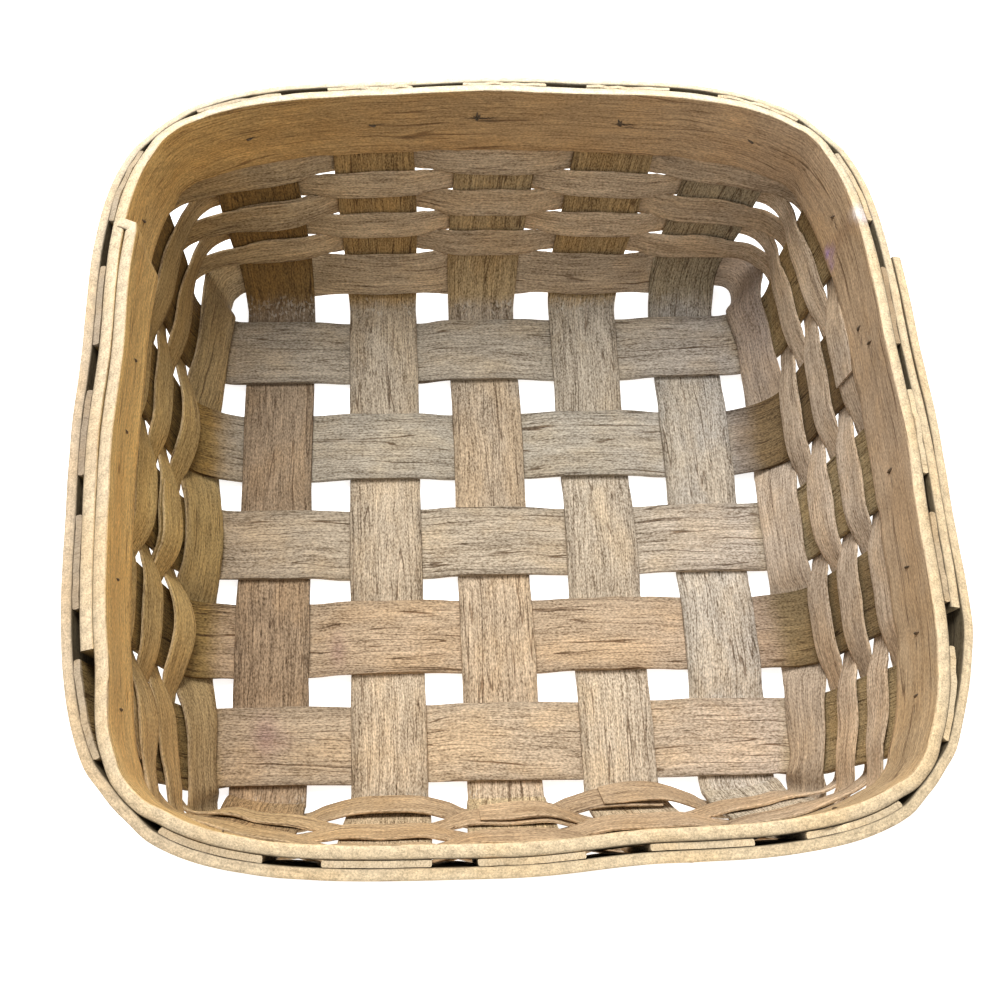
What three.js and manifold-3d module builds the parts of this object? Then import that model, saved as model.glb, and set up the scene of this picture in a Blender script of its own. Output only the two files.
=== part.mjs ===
// Square splint basket: ten long splints woven as a lattice for the bottom and
// turned up as twenty uprights, one wide and five narrow weavers round the wall,
// an inner and an outer rim band with lapped ends, and the tacks that clinch
// both bands to the uprights.  Millimetres, +Z up, X to the right, Y away.
import * as THREE from "three";
import { mergeVertices } from "three/addons/utils/BufferGeometryUtils.js";
import Module from "manifold-3d";

// ---------------------------------------------------------------- dimensions
const PITCH = 44; // spacing of the bottom splints
const SPLINT_T = 2.0; // thickness of a long splint
const WEAVER_T = 1.7; // thickness of a weaver
const CLEAR = 0.3; // air between touching pieces
const BAND_T = 4.0; // thickness of a rim band
const BAND_H = 28.2; // height of a rim band
const RIM_Z = 92.4; // height of the rim's top over the bottom's middle plane
const BEND_R = 22; // radius of the turn from bottom to wall
const BASE_LIFT = 0.9; // rise of the bottom's rim over its middle plane
const BASE_X = 106.9; // half width where the side walls start to turn up
const BASE_Y = 109.2; // half depth where the end walls start to turn up
const LEAN_X = 14.4; // outward lean of the side walls, degrees
const LEAN_Y = 15.4; // outward lean of the end walls, degrees
const CORNER_LOW = 14; // superellipse exponent of the plan at the bottom
const CORNER_HIGH = 4.17; // and at the rim
const CORNER_FADE = 17; // arc length over which the plan rounds off
// How far the hand-bent rim departs from that curve, in thousandths of its
// radius every 15 degrees anticlockwise from the right.
const RIM_FULLNESS = [
  3.1, -5.1, 6.1, 34.4, 33.0, 31.4, 39.2, 24.6, 20.0, 25.7, 2.7, -10.6, -0.3,
  -5.9, -8.3, -1.9, -13.0, -16.0, -15.4, -32.1, -19.4, 11.9, 5.8, -2.8,
];
const FULLNESS_POWER = 2.5; // how late up the wall that departure comes in
// The near wall bows in: how far, every 6 mm of arc length.
const HOLLOW = [0.8, 6.0, 8.9, 10.0, 10.4, 9.2, 7.2, 5.2, 3.6, 2.3, 1.4, 0.8, 0.4, 0.1];
// How much fuller the wall is near the corners than the curve: direction and
// half width in degrees, and the swell low down and high up the wall.
const CORNERS = [
  { at: 47, wide: 8.6, low: 9.5, high: 9.5 }, // far right
  { at: 134.5, wide: 8.5, low: 6, high: 6 }, // far left
  { at: 214, wide: 9, low: -3, high: 0 }, // near end of the left wall
  { at: 224, wide: 8, low: 0, high: 3 }, // near left
  { at: 316, wide: 8, low: 0, high: 4 }, // near right
];
const WIDE_LOW = 6.4; // arc length up the wall where the wide weaver starts
const WIDE_LOW_SWING = 1.8; // higher by this on the end walls, lower on the sides
const WIDE_HIGH = 23.2; // and ends
const ROW = 11.0; // spacing of the narrow weavers
const NARROW_W = 10.4; // width of a narrow weaver
const ROWS = 5; // narrow weavers
const BOW = { right: 0.8, far: 0.3, left: 0.8, near: 2.4 }; // slack of a weaver
// where it passes inside an upright, beyond mere contact
// At each corner: where round it the rows change places, half the run that the
// change takes, and how far even and odd rows stand out on the way.
const TURNS = {
  4: { cross: 0.5, run: 0.36, even: 0.6, odd: 0.8 }, // far right
  9: { cross: 0.28, run: 0.27, even: 0.8, odd: 0.8 }, // far left
  14: { cross: 0.28, run: 0.27, even: 2.6, odd: -1.6 }, // near left
  19: { cross: 0.72, run: 0.27, even: 2.6, odd: -1.6 }, // near right
};
const TACK_D = 1.5; // tack shank diameter
const TACK_HEAD = 4.6; // tack head diameter

// Long splints: width in the bottom and at the rim, and where each one lies.
// "at" is the middle of the splint at its near (or left) and far (or right) end
// of the bottom; "top" is where its two ends meet the rim.  In pitches.
const FRONT_BACK = [
  { at: [-2.045, -2.0], top: [-2.26, -2.25] },
  { at: [-1.005, -0.998], top: [-1.1, -1.08] },
  { at: [-0.01, -0.02], top: [-0.015, 0.13] },
  { at: [1.0, 0.995], top: [1.21, 1.27] },
  { at: [2.03, 2.0], top: [2.35, 2.45] },
];
const LEFT_RIGHT = [
  { at: [1.985, 2.035], top: [2.44, 2.44] },
  { at: [0.956, 0.952], top: [1.23, 1.19] },
  { at: [-0.045, -0.06], top: [0.06, -0.025] },
  { at: [-0.964, -0.99], top: [-1.04, -1.14] },
  { at: [-1.94, -1.975], top: [-2.2, -2.25] },
];
const FB_WIDTH = [0.66, 0.765];
const LR_WIDTH = [0.69, 0.765];

// ------------------------------------------------------------------- surface
const deg = Math.PI / 180;
const turnX = (90 - LEAN_X) * deg;
const turnY = (90 - LEAN_Y) * deg;

// The wall's profile at the middle of a side: distance out, height and slope
// after arc length s from where the bottom stops being flat.
function profile(s, base, turn) {
  const arc = BEND_R * turn;
  if (s <= 0) return [base + s, BASE_LIFT, 0];
  if (s < arc) {
    const b = s / BEND_R;
    return [
      base + BEND_R * Math.sin(b),
      BASE_LIFT + BEND_R * (1 - Math.cos(b)),
      b,
    ];
  }
  const b = turn,
    r = s - arc;
  return [
    base + BEND_R * Math.sin(b) + r * Math.cos(b),
    BASE_LIFT + BEND_R * (1 - Math.cos(b)) + r * Math.sin(b),
    b,
  ];
}
// Arc length at the rim's top, on the end walls; both walls reach RIM_Z there.
const topS = (turn) =>
  BEND_R * turn +
  (RIM_Z - BASE_LIFT - BEND_R * (1 - Math.cos(turn))) / Math.sin(turn);
const TOP = topS(turnY);
const scaleX = (topS(turnX) - BEND_R * turnX) / (TOP - BEND_R * turnY);
function sideS(s) {
  // the side walls' arc length for the level that the end walls have at s
  const ay = BEND_R * turnY,
    ax = BEND_R * turnX;
  return s < ay ? (s * ax) / ay : ax + (s - ay) * scaleX;
}
function fullness(a) {
  const n = RIM_FULLNESS.length;
  const x = ((a / (2 * Math.PI)) * n + n) % n;
  const i = Math.floor(x),
    f = x - i;
  const [p, q, r, s] = [-1, 0, 1, 2].map(
    (d) => RIM_FULLNESS[(i + d + n) % n] / 1000,
  );
  return (
    0.5 *
    (2 * q +
      (r - p) * f +
      (2 * p - 5 * q + 4 * r - s) * f * f +
      (3 * q - p - 3 * r + s) * f * f * f)
  );
}
const ease = (x) => {
  const v = Math.max(0, Math.min(1, x));
  return v * v * (3 - 2 * v);
};
function hollow(s) {
  const at = (i) => HOLLOW[Math.max(0, i)] ?? 0;
  const x = Math.max(0, s) / 6,
    i = Math.floor(x),
    f = x - i;
  const [p, q, r, v] = [i - 1, i, i + 1, i + 2].map(at);
  return (
    q +
    0.5 *
      f *
      (r - p + f * (2 * p - 5 * q + 4 * r - v + f * (3 * q - p - 3 * r + v)))
  );
}
function swell(a, s) {
  const high = ease((s - 28) / 24);
  const low = ease(s / 10) * (1 - high);
  const fade = 1 - ease((s - 56) / 50);
  let out = 0;
  for (const c of CORNERS) {
    let d = a / deg - c.at;
    d -= 360 * Math.round(d / 360);
    out += (c.low * low + c.high * high) * fade * Math.exp(-((d / c.wide) ** 2));
  }
  return out;
}
// A level is one horizontal ring of the wall's middle surface.
const levels = new Map();
function level(s) {
  const key = s.toFixed(5);
  if (levels.has(key)) return levels.get(key);
  const [dy, zy] = profile(s, BASE_Y, turnY);
  const [dx, zx] = profile(sideS(s), BASE_X, turnX);
  const t = Math.max(0, Math.min(1, s / TOP));
  const n =
    CORNER_HIGH +
    (CORNER_LOW - CORNER_HIGH) * Math.exp(-Math.max(0, s) / CORNER_FADE);
  const N = 720,
    pts = [],
    cum = [0];
  for (let i = 0; i <= N; i++) {
    const a = (i / N) * 2 * Math.PI - Math.PI / 4; // starts at the near right corner
    const c = Math.cos(a),
      q = Math.sin(a);
    const ring = Math.pow(
      Math.pow(Math.abs(c) / dx, n) + Math.pow(Math.abs(q) / dy, n),
      -1 / n,
    );
    const bowed =
      q < 0
        ? hollow(s) *
          (1 - ease((Math.abs(ring * c) - 97) / 23)) *
          ease((Math.abs(ring * q) / dy - 0.7) / 0.18)
        : 0;
    const r = ring * (1 + fullness(a) * Math.pow(t, FULLNESS_POWER)) + swell(a, s);
    const side = Math.pow(Math.abs(c), 2) * zx + Math.pow(Math.abs(q), 2) * zy;
    pts.push([r * c, r * q + bowed, side]);
    if (i)
      cum.push(
        cum[i - 1] +
          Math.hypot(pts[i][0] - pts[i - 1][0], pts[i][1] - pts[i - 1][1]),
      );
  }
  const L = { pts, cum, length: cum[N], t, s };
  levels.set(key, L);
  return L;
}
function along(L, d) {
  // the ring's point at distance d round it
  const len = L.length;
  d = ((d % len) + len) % len;
  let lo = 0,
    hi = L.cum.length - 1;
  while (hi - lo > 1) {
    const m = (lo + hi) >> 1;
    if (L.cum[m] <= d) lo = m;
    else hi = m;
  }
  const f = (d - L.cum[lo]) / (L.cum[hi] - L.cum[lo]);
  return L.pts[lo].map((v, i) => v + (L.pts[hi][i] - v) * f);
}
// Twenty uprights in order round the basket, from the near right corner:
// right wall near to far, far wall right to left, left wall far to near,
// near wall left to right.
const UPRIGHTS = [];
for (let j = 4; j >= 0; j--) UPRIGHTS.push({ wall: "right", k: j });
for (let i = 4; i >= 0; i--) UPRIGHTS.push({ wall: "far", k: i });
for (let j = 0; j < 5; j++) UPRIGHTS.push({ wall: "left", k: j });
for (let i = 0; i < 5; i++) UPRIGHTS.push({ wall: "near", k: i });
function lateral(u, t) {
  const list = u.wall === "far" || u.wall === "near" ? FRONT_BACK : LEFT_RIGHT;
  const e = u.wall === "far" || u.wall === "right" ? 1 : 0;
  const p = list[u.k];
  return PITCH * (p.at[e] + (p.top[e] - p.at[e]) * t);
}
function widthAt(u, s) {
  const w = u.wall === "far" || u.wall === "near" ? FB_WIDTH : LR_WIDTH;
  return PITCH * (w[0] + (w[1] - w[0]) * (1 - Math.exp(-Math.max(0, s) / 28)));
}
// Knots of a level: for upright i, 3i is one edge, 3i+1 its middle, 3i+2 the other edge.
function knots(L) {
  if (L.knots) return L.knots;
  const out = [];
  for (const u of UPRIGHTS) {
    const q = lateral(u, L.t);
    const axis = u.wall === "far" || u.wall === "near" ? 0 : 1;
    const quarter = ["right", "far", "left", "near"].indexOf(u.wall);
    let lo = quarter * 180,
      hi = lo + 180; // samples of that quarter turn
    const up = L.pts[hi][axis] > L.pts[lo][axis];
    while (hi - lo > 1) {
      const m = (lo + hi) >> 1;
      if (L.pts[m][axis] < q === up) lo = m;
      else hi = m;
    }
    const f = (q - L.pts[lo][axis]) / (L.pts[hi][axis] - L.pts[lo][axis]);
    const c = L.cum[lo] + f * (L.cum[hi] - L.cum[lo]);
    const w = widthAt(u, L.s) / 2;
    out.push(c - w, c, c + w);
  }
  out.push(out[0] + L.length);
  return (L.knots = out);
}
function distance(L, u) {
  const K = knots(L),
    n = 60;
  const turns = Math.floor(u / n),
    v = u - turns * n;
  const i = Math.min(Math.floor(v), n - 1);
  return turns * L.length + K[i] + (K[i + 1] - K[i]) * (v - i);
}
function middle(u, s) {
  const L = level(s);
  return along(L, distance(L, u));
}
// A point of the wall at round-the-basket place u, arc length s and distance
// out from the uprights' middle surface.
function wall(u, s, out) {
  const e = 0.04,
    h = 0.4;
  const a = middle(u - e, s),
    b = middle(u + e, s),
    p = middle(u, s);
  const lo = middle(u, Math.max(0, s - h)),
    hi = middle(u, Math.max(0, s - h) + 2 * h);
  const T = new THREE.Vector3(b[0] - a[0], b[1] - a[1], b[2] - a[2]);
  const U = new THREE.Vector3(hi[0] - lo[0], hi[1] - lo[1], hi[2] - lo[2]);
  const N = T.cross(U).normalize();
  return new THREE.Vector3(...p).addScaledVector(N, out);
}

// ---------------------------------------------------------------- mesh making
// A solid from a run of equal closed sections, capped at both ends.
function loft(sections) {
  const m = sections[0].length,
    pos = [],
    idx = [];
  sections.forEach((s) => s.forEach((p) => pos.push(p.x, p.y, p.z)));
  for (let i = 0; i + 1 < sections.length; i++)
    for (let j = 0; j < m; j++) {
      const a = i * m + j,
        b = i * m + ((j + 1) % m),
        c = a + m,
        d = b + m;
      idx.push(a, c, b, b, c, d);
    }
  // the sections are thin bands: two rows of h points each, so the caps are quads
  const h = m / 2,
    cap = (o, flip) => {
      for (let j = 0; j + 1 < h; j++) {
        const a = o + j,
          b = o + j + 1,
          c = o + m - 1 - j,
          d = o + m - 2 - j;
        if (flip) idx.push(a, b, c, b, d, c);
        else idx.push(a, c, b, b, c, d);
      }
    };
  cap(0, true);
  cap((sections.length - 1) * m, false);
  const g = new THREE.BufferGeometry();
  g.setAttribute("position", new THREE.Float32BufferAttribute(pos, 3));
  g.setIndex(idx);
  // turn the faces round if they point in
  const P = pos;
  let v = 0;
  for (let i = 0; i < idx.length; i += 3) {
    const [a, b, c] = [idx[i] * 3, idx[i + 1] * 3, idx[i + 2] * 3];
    v +=
      P[a] * (P[b + 1] * P[c + 2] - P[b + 2] * P[c + 1]) +
      P[a + 1] * (P[b + 2] * P[c] - P[b] * P[c + 2]) +
      P[a + 2] * (P[b] * P[c + 1] - P[b + 1] * P[c]);
  }
  if (v < 0) {
    for (let i = 0; i < idx.length; i += 3)
      [idx[i + 1], idx[i + 2]] = [idx[i + 2], idx[i + 1]];
    g.setIndex(idx);
  }
  return g;
}

const wasm = await Module();
wasm.setup();
function toSolid(geometry) {
  const g = geometry.clone();
  g.deleteAttribute("normal");
  g.deleteAttribute("uv");
  const m = mergeVertices(g, 1e-4);
  return new wasm.Manifold(
    new wasm.Mesh({
      numProp: 3,
      vertProperties: new Float32Array(m.attributes.position.array),
      triVerts: new Uint32Array(m.index.array),
    }),
  );
}
function toGeometry(solid) {
  const m = solid.getMesh();
  const g = new THREE.BufferGeometry();
  g.setAttribute(
    "position",
    new THREE.Float32BufferAttribute(new Float32Array(m.vertProperties), 3),
  );
  g.setIndex(Array.from(m.triVerts));
  return g;
}

const basket = new THREE.Group();
basket.name = "splint_basket";
const pieces = [];
function piece(name, geometry, color, roughness, metalness = 0) {
  pieces.push({ name, geometry, color, roughness, metalness });
}

// --------------------------------------------------------------- long splints
// Bend and wall stations, in arc length on the end walls.
const ARC = BEND_R * turnY;
const BEND = [2.6, ARC * 0.2, ARC * 0.4, ARC * 0.6, ARC * 0.8, ARC];
const S_LOW = TOP - BAND_H; // the rim bands' lower edge
const BAND_S = [0, 0.25, 0.5, 0.75, 1].map((f) => S_LOW + BAND_H * f);
const WALL = [
  ...[0.08, 0.2, 0.34, 0.53, 0.76].map((f) => ARC + (S_LOW - ARC) * f),
  ...BAND_S,
];
const OVER = (SPLINT_T + CLEAR) / 2;

// Places across an upright; those beside a corner have more of them.
const acrossOf = (k) => (k === 0 || k === 4 ? [0, 0.5, 1, 1.5, 2] : [0, 1, 2]);
function uprightSection(index, s, out = 0) {
  const rows = [[], []];
  for (const c of acrossOf(UPRIGHTS[index].k)) {
    rows[0].push(wall(3 * index + c, s, out - SPLINT_T / 2));
    rows[1].push(wall(3 * index + c, s, out + SPLINT_T / 2));
  }
  return [...rows[0], ...rows[1].reverse()];
}
function longSplint(axis, k) {
  const list = axis === "fb" ? FRONT_BACK : LEFT_RIGHT;
  const width = (axis === "fb" ? FB_WIDTH : LR_WIDTH)[0] * PITCH;
  const other = axis === "fb" ? LEFT_RIGHT : FRONT_BACK;
  const otherWidth = (axis === "fb" ? LR_WIDTH : FB_WIDTH)[0] * PITCH;
  const me = list[k];
  const walls = axis === "fb" ? ["near", "far"] : ["left", "right"];
  const [i0, i1] = walls.map((w) =>
    UPRIGHTS.findIndex((u) => u.wall === w && u.k === k),
  );
  const sections = [];
  // near or left wall, from the rim down to the bottom; columns run from -lateral to +lateral
  const orient = (index, s, out) => {
    const sec = uprightSection(index, s, out);
    const lat = axis === "fb" ? "x" : "y";
    const half = sec.length / 2;
    const [a, b] = [sec[0], sec[half - 1]];
    const flip = a[lat] > b[lat];
    // keep each section's points in one order: bottom face first, low lateral first
    const inner = sec.slice(0, half),
      outer = sec.slice(half).reverse();
    if (flip) {
      inner.reverse();
      outer.reverse();
    }
    return [...outer, ...inner.reverse()];
  };
  const under = (j) => ((j + k) % 2 === 0 ? -1 : 1); // even sums pass below on the fb splints
  const sign = axis === "fb" ? 1 : -1;
  const order = other.map((_, j) => j); // LEFT_RIGHT runs far to near, FRONT_BACK left to right
  if (axis === "fb") order.reverse();
  const firstOut = -sign * under(order[0]) * OVER;
  const lastOut = -sign * under(order[4]) * OVER;
  for (const s of [...WALL].reverse()) sections.push(orient(i0, s, 0));
  for (const s of [...BEND].reverse())
    sections.push(orient(i0, s, s < 3 ? firstOut * 0.12 : 0));
  const flat = (run, z) => {
    // a section across the bottom at place run along the splint
    const f = (run / PITCH + 2.4) / 4.8;
    const c = PITCH * (me.at[0] + (me.at[1] - me.at[0]) * f);
    const pts = (dz) =>
      acrossOf(k).map((q) => {
        const l = c + ((q - 1) * width) / 2;
        return axis === "fb"
          ? new THREE.Vector3(l, run, z + dz)
          : new THREE.Vector3(run, l, z + dz);
      });
    return [...pts(-SPLINT_T / 2), ...pts(SPLINT_T / 2).reverse()];
  };
  const e = 0.9; // the splint stays level a little past each crossing
  for (const j of order) {
    const mid = other[j];
    const mine = (me.at[0] + me.at[1]) / 2;
    const f = (mine + 2.4) / 4.8;
    const c = PITCH * (mid.at[0] + (mid.at[1] - mid.at[0]) * f);
    const z = sign * under(j) * OVER;
    sections.push(flat(c - otherWidth / 2 - e, z));
    sections.push(flat(c + otherWidth / 2 + e, z));
  }
  for (const s of BEND)
    sections.push(orient(i1, s, s < 3 ? lastOut * 0.12 : 0));
  for (const s of WALL) sections.push(orient(i1, s, 0));
  return loft(sections);
}

// -------------------------------------------------------------------- weavers
// Row 0 is the wide weaver.  Even rows pass inside the 2nd and 4th front-back
// splints and the 1st, 3rd and 5th left-right ones; odd rows pass inside the rest.
const passesInside = (row, u) => {
  const fb = u.wall === "far" || u.wall === "near";
  const even = fb ? u.k % 2 === 1 : u.k % 2 === 0;
  return (row % 2 === 0) === even;
};
const WEAVE = (SPLINT_T + WEAVER_T) / 2 + 1.6 * CLEAR;
const STEP = WEAVER_T + CLEAR;
// offset of a weaver's middle from the wall at upright i; lap is 0 for a single
// layer, -1 for the layer that starts the lap and +1 for the one that ends it
function rowOffset(row, i, lap) {
  const u = UPRIGHTS[((i % 20) + 20) % 20];
  const inside = passesInside(row, u);
  const base = inside ? -WEAVE : WEAVE;
  if (lap < 0) return inside ? base - STEP : base; // starting layer stays inwards
  if (lap > 0) return inside ? base : base + STEP; // ending layer stays outwards
  return base;
}
// start: index of the upright where the strip starts; lap: uprights it covers twice
const ROW_START = [18, 17, 12, 8, 13, 3];
const LAP = [1, 2, 2, 2, 2, 2];
function weaver(row) {
  const low = row === 0 ? WIDE_LOW : WIDE_HIGH + 0.4 + (row - 1) * ROW;
  const high = row === 0 ? WIDE_HIGH : low + NARROW_W;
  const shares =
    row === 0 ? [0, 0.25, 0.5, 0.75, 1] : row === 1 ? [0, 0.5, 1] : [0, 1];
  const start = ROW_START[row];
  const stations = []; // [u, offset, swing at a corner]
  const total = 20 + LAP[row];
  for (let n = 0; n < total; n++) {
    const i = start + n;
    const lap = n < LAP[row] ? -1 : n >= 20 ? 1 : 0;
    const o = rowOffset(row, i, lap);
    const u0 = 3 * i;
    const bow = o < 0 ? BOW[UPRIGHTS[i % 20].wall] : 0;
    stations.push([u0 + (n === 0 ? 0.3 : -0.06), o - 0.2 * bow]);
    const beside = i % 5 === 0 || i % 5 === 4;
    if (beside && n > 0) stations.push([u0 + 0.5, o - 0.7 * bow]);
    stations.push([u0 + 1, o - bow]);
    if (beside && n < total - 1) stations.push([u0 + 1.5, o - 0.7 * bow]);
    stations.push([u0 + (n === total - 1 ? 1.7 : 2.06), o - 0.2 * bow]);
    if (n === total - 1) break;
    // the four corners have no upright for a long way
    const corner = (i % 20) % 5 === 4;
    const nextLap = n + 1 < LAP[row] ? -1 : n + 1 >= 20 ? 1 : 0;
    const o2 = rowOffset(row, i + 1, nextLap);
    const cuts = corner ? [0.18, 0.36, 0.5, 0.64, 0.82] : [];
    const turning = TURNS[i % 20];
    for (const c of cuts) {
      const b = ease((c - turning.cross + turning.run) / (2 * turning.run));
      const out = (row % 2 === 0 ? turning.even : turning.odd) * Math.sin(Math.PI * c);
      stations.push([u0 + 2 + c, o + (o2 - o) * b, out]);
    }
  }
  return loft(
    stations.map(([u, o, out = 0]) => {
      const p = middle(u, low);
      const side = (p[0] * p[0]) / (p[0] * p[0] + p[1] * p[1]);
      const lift = row === 0 ? WIDE_LOW_SWING * (1 - 2 * side) : 0;
      const across = shares.map((f) => low + lift * (1 - f) + (high - low) * f);
      // the wide strip's lower edge swings level, so it stays off the ground
      const swing = across.map((s, j) => {
        const v = wall(u, s, 1).sub(wall(u, s, 0));
        if (row > 0) return v.multiplyScalar(out);
        const level = v.clone().setZ(0).normalize();
        return v.lerp(level, 1 - shares[j]).multiplyScalar(out);
      });
      const face = (d) =>
        across.map((s, j) => wall(u, s, o + (d * WEAVER_T) / 2).add(swing[j]));
      return [...face(-1), ...face(1).reverse()];
    }),
  );
}

// ------------------------------------------------------------------ rim bands
// Each band is one strip bent round the rim, its ends lapped on one side wall.
const BAND_IN = SPLINT_T / 2 + 1.4 * CLEAR; // band face to the uprights' middle
const LAP_STEP = BAND_T + CLEAR;
// The strip starts against the uprights at "from" and goes round in direction
// "dir"; a little before it is back there it leaves the uprights, to pass over
// its own start, and it ends at "to".
const INNER = { sign: -1, dir: -1, from: 41.85, to: 32.05 };
const OUTER = { sign: 1, dir: 1, from: 2.9, to: 11.25 };
const DRIFT = 2.5;
const LAP_TACK = 2.45; // a tack through both bands alone, beside the outer lap
function standoff(b, u) {
  // of the outermost layer, as a share of one layer's thickness
  const d = ((((b.from - u) * b.dir) % 60) + 60) % 60; // still to go to the start
  const lapped = 60 - Math.abs(b.to - b.from);
  if (d >= lapped || d <= 0.15) return 1;
  const g = 1 - Math.min(1, (d - 0.15) / (DRIFT - 0.15));
  return g * g * (3 - 2 * g);
}
function band(b) {
  const every = [];
  for (let i = 0; i < 20; i++) {
    every.push(3 * i, 3 * i + 1, 3 * i + 2);
    if (i % 5 === 0 || i % 5 === 4) every.push(3 * i + 0.5, 3 * i + 1.5);
    if (i % 5 === 4)
      for (const c of [0.2, 0.4, 0.6, 0.8]) every.push(3 * i + 2 + c);
  }
  every.push(LAP_TACK);
  const end = b.to + 60 * b.dir,
    back = b.from + 60 * b.dir;
  const list = [b.from, back - 0.15 * b.dir, back - DRIFT * b.dir, end];
  for (let turn = -2; turn <= 2; turn++)
    for (const u of every) {
      const v = u + 60 * turn;
      if (list.every((w) => Math.abs(w - v) > 0.12))
        if ((v - b.from) * b.dir > 0 && (end - v) * b.dir > 0) list.push(v);
    }
  list.sort((p, q) => (p - q) * b.dir);
  return loft(
    list.map((u) => {
      const first = (back - u) * b.dir > DRIFT; // the layer on the uprights
      const near = BAND_IN + LAP_STEP * (first ? 0 : standoff(b, u)),
        far = near + BAND_T;
      return [
        ...BAND_S.map((s) => wall(u, s, b.sign * near)),
        ...BAND_S.map((s) => wall(u, s, b.sign * far)).reverse(),
      ];
    }),
  );
}

// ---------------------------------------------------------------------- tacks
// One through each upright and two more at the outer band's lap: name, place
// round the rim, depth below the rim as a share of the band, and the way that
// the point is clinched over on the inner face, in degrees.
const TACKS = [
  ["rim_tack_right_5", 1.0, 0.52, 80],
  ["rim_tack_right_lap_near", LAP_TACK, 0.5, 95],
  ["rim_tack_right_4", 4.0, 0.5, 100],
  ["rim_tack_right_3", 6.4, 0.55, 70],
  ["rim_tack_right_2", 9.4, 0.42, 85],
  ["rim_tack_right_lap_far", 10.0, 0.62, 60],
  ["rim_tack_right_1", 12.8, 0.5, 110],
  ["rim_tack_far_5", 15.8, 0.48, 20],
  ["rim_tack_far_4", 19.05, 0.5, 65],
  ["rim_tack_far_3", 22.6, 0.46, 90],
  ["rim_tack_far_2", 24.95, 0.5, 10],
  ["rim_tack_far_1", 28.0, 0.52, 170],
  ["rim_tack_left_1", 31.3, 0.5, 75],
  ["rim_tack_left_2", 34.8, 0.6, 90],
  ["rim_tack_left_3", 36.6, 0.55, 105],
  ["rim_tack_left_4", 40.2, 0.5, 85],
  ["rim_tack_left_5", 43.0, 0.52, 90],
  ["rim_tack_near_1", 46.0, 0.5, 80],
  ["rim_tack_near_2", 49.0, 0.5, 15],
  ["rim_tack_near_3", 52.0, 0.5, 100],
  ["rim_tack_near_4", 55.0, 0.5, 165],
  ["rim_tack_near_5", 58.0, 0.5, 70],
];
const bar = (d, height, sides, z) =>
  wasm.Manifold.cylinder(height, d / 2, d / 2, sides).translate([0, 0, z]);
function tack([, u, share, angle]) {
  const s = TOP - BAND_H * share;
  const p = wall(u, s, 0);
  const n = wall(u, s, 1).sub(p);
  const t = wall(u + 0.05, s, 0)
    .sub(wall(u - 0.05, s, 0))
    .normalize();
  const up = new THREE.Vector3().crossVectors(n, t).normalize();
  t.crossVectors(up, n).normalize();
  const place = new THREE.Matrix4().makeBasis(t, up, n).setPosition(p);
  const inner = BAND_IN + LAP_STEP * standoff(INNER, u) + BAND_T + 1.8 * CLEAR;
  const outer = BAND_IN + LAP_STEP * standoff(OUTER, u) + BAND_T + CLEAR;
  const point = wasm.Manifold.cube([5.2, 1.4, 1.2])
    .translate([-0.7, -0.7, -inner - 1.2])
    .rotate([0, 0, angle]);
  const body = bar(TACK_D, inner + outer + 0.9, 6, -inner - 0.6)
    .add(
      wasm.Manifold.cylinder(0.8, TACK_HEAD / 2, TACK_HEAD / 2 - 0.5, 8).translate(
        [0, 0, outer],
      ),
    )
    .add(point);
  const hole = bar(TACK_D + 2.6 * CLEAR, inner + outer + 8, 6, -inner - 4);
  const m = place.elements;
  return { body: body.transform(m), hole: hole.transform(m) };
}

// ------------------------------------------------------------------- assembly
const WOOD = 0xb59f7c,
  WALLWOOD = 0x8f7a55,
  RIMWOOD = 0xd9c08e,
  IRON = 0x4a3f35;
const tacks = TACKS.map((spec) => ({ spec, ...tack(spec) }));
// A geometry with the tacks' clearance holes through it.
function drilled(geometry, list) {
  if (!list.length) return geometry;
  return toGeometry(
    list.reduce((solid, t) => solid.subtract(t.hole), toSolid(geometry)),
  );
}
const through = (walls, k) =>
  tacks.filter(({ spec }) => {
    const i = Math.floor(spec[1] / 3),
      u = UPRIGHTS[i];
    return spec[1] - 3 * i <= 2 && u.k === k && walls.includes(u.wall);
  });
for (let k = 0; k < 5; k++)
  piece(
    "splint_front_back_" + (k + 1),
    drilled(longSplint("fb", k), through(["near", "far"], k)),
    WOOD,
    0.78,
  );
for (let k = 0; k < 5; k++)
  piece(
    "splint_left_right_" + (k + 1),
    drilled(longSplint("lr", k), through(["left", "right"], k)),
    WOOD,
    0.78,
  );
piece("wide_weaver", weaver(0), WALLWOOD, 0.75);
for (let r = 1; r <= ROWS; r++)
  piece("narrow_weaver_" + r, weaver(r), WALLWOOD, 0.75);
piece("inner_rim_band", drilled(band(INNER), tacks), RIMWOOD, 0.62);
piece("outer_rim_band", drilled(band(OUTER), tacks), RIMWOOD, 0.62);
for (const { spec, body } of tacks)
  piece(spec[0], toGeometry(body), IRON, 0.55, 0.7);

// The plan isn't centred on the bottom's lattice, so the whole basket is moved
// to put the middle of its box, at the lowest point, on the origin.
const box = new THREE.Box3();
for (const p of pieces) {
  p.geometry.computeBoundingBox();
  box.union(p.geometry.boundingBox);
}
const shift = new THREE.Vector3(
  -(box.min.x + box.max.x) / 2,
  -(box.min.y + box.max.y) / 2,
  -box.min.z,
);

for (const p of pieces) {
  p.geometry.translate(shift.x, shift.y, shift.z);
  const mesh = new THREE.Mesh(
    p.geometry,
    new THREE.MeshStandardMaterial({
      color: p.color,
      roughness: p.roughness,
      metalness: p.metalness,
    }),
  );
  mesh.name = p.name;
  basket.add(mesh);
}

// where the middle of the bottom's lattice lies in the basket's frame
basket.userData.shift = shift.toArray();

export default basket;
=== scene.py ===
import math

import bpy
import numpy as np
from mathutils import Matrix


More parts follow.
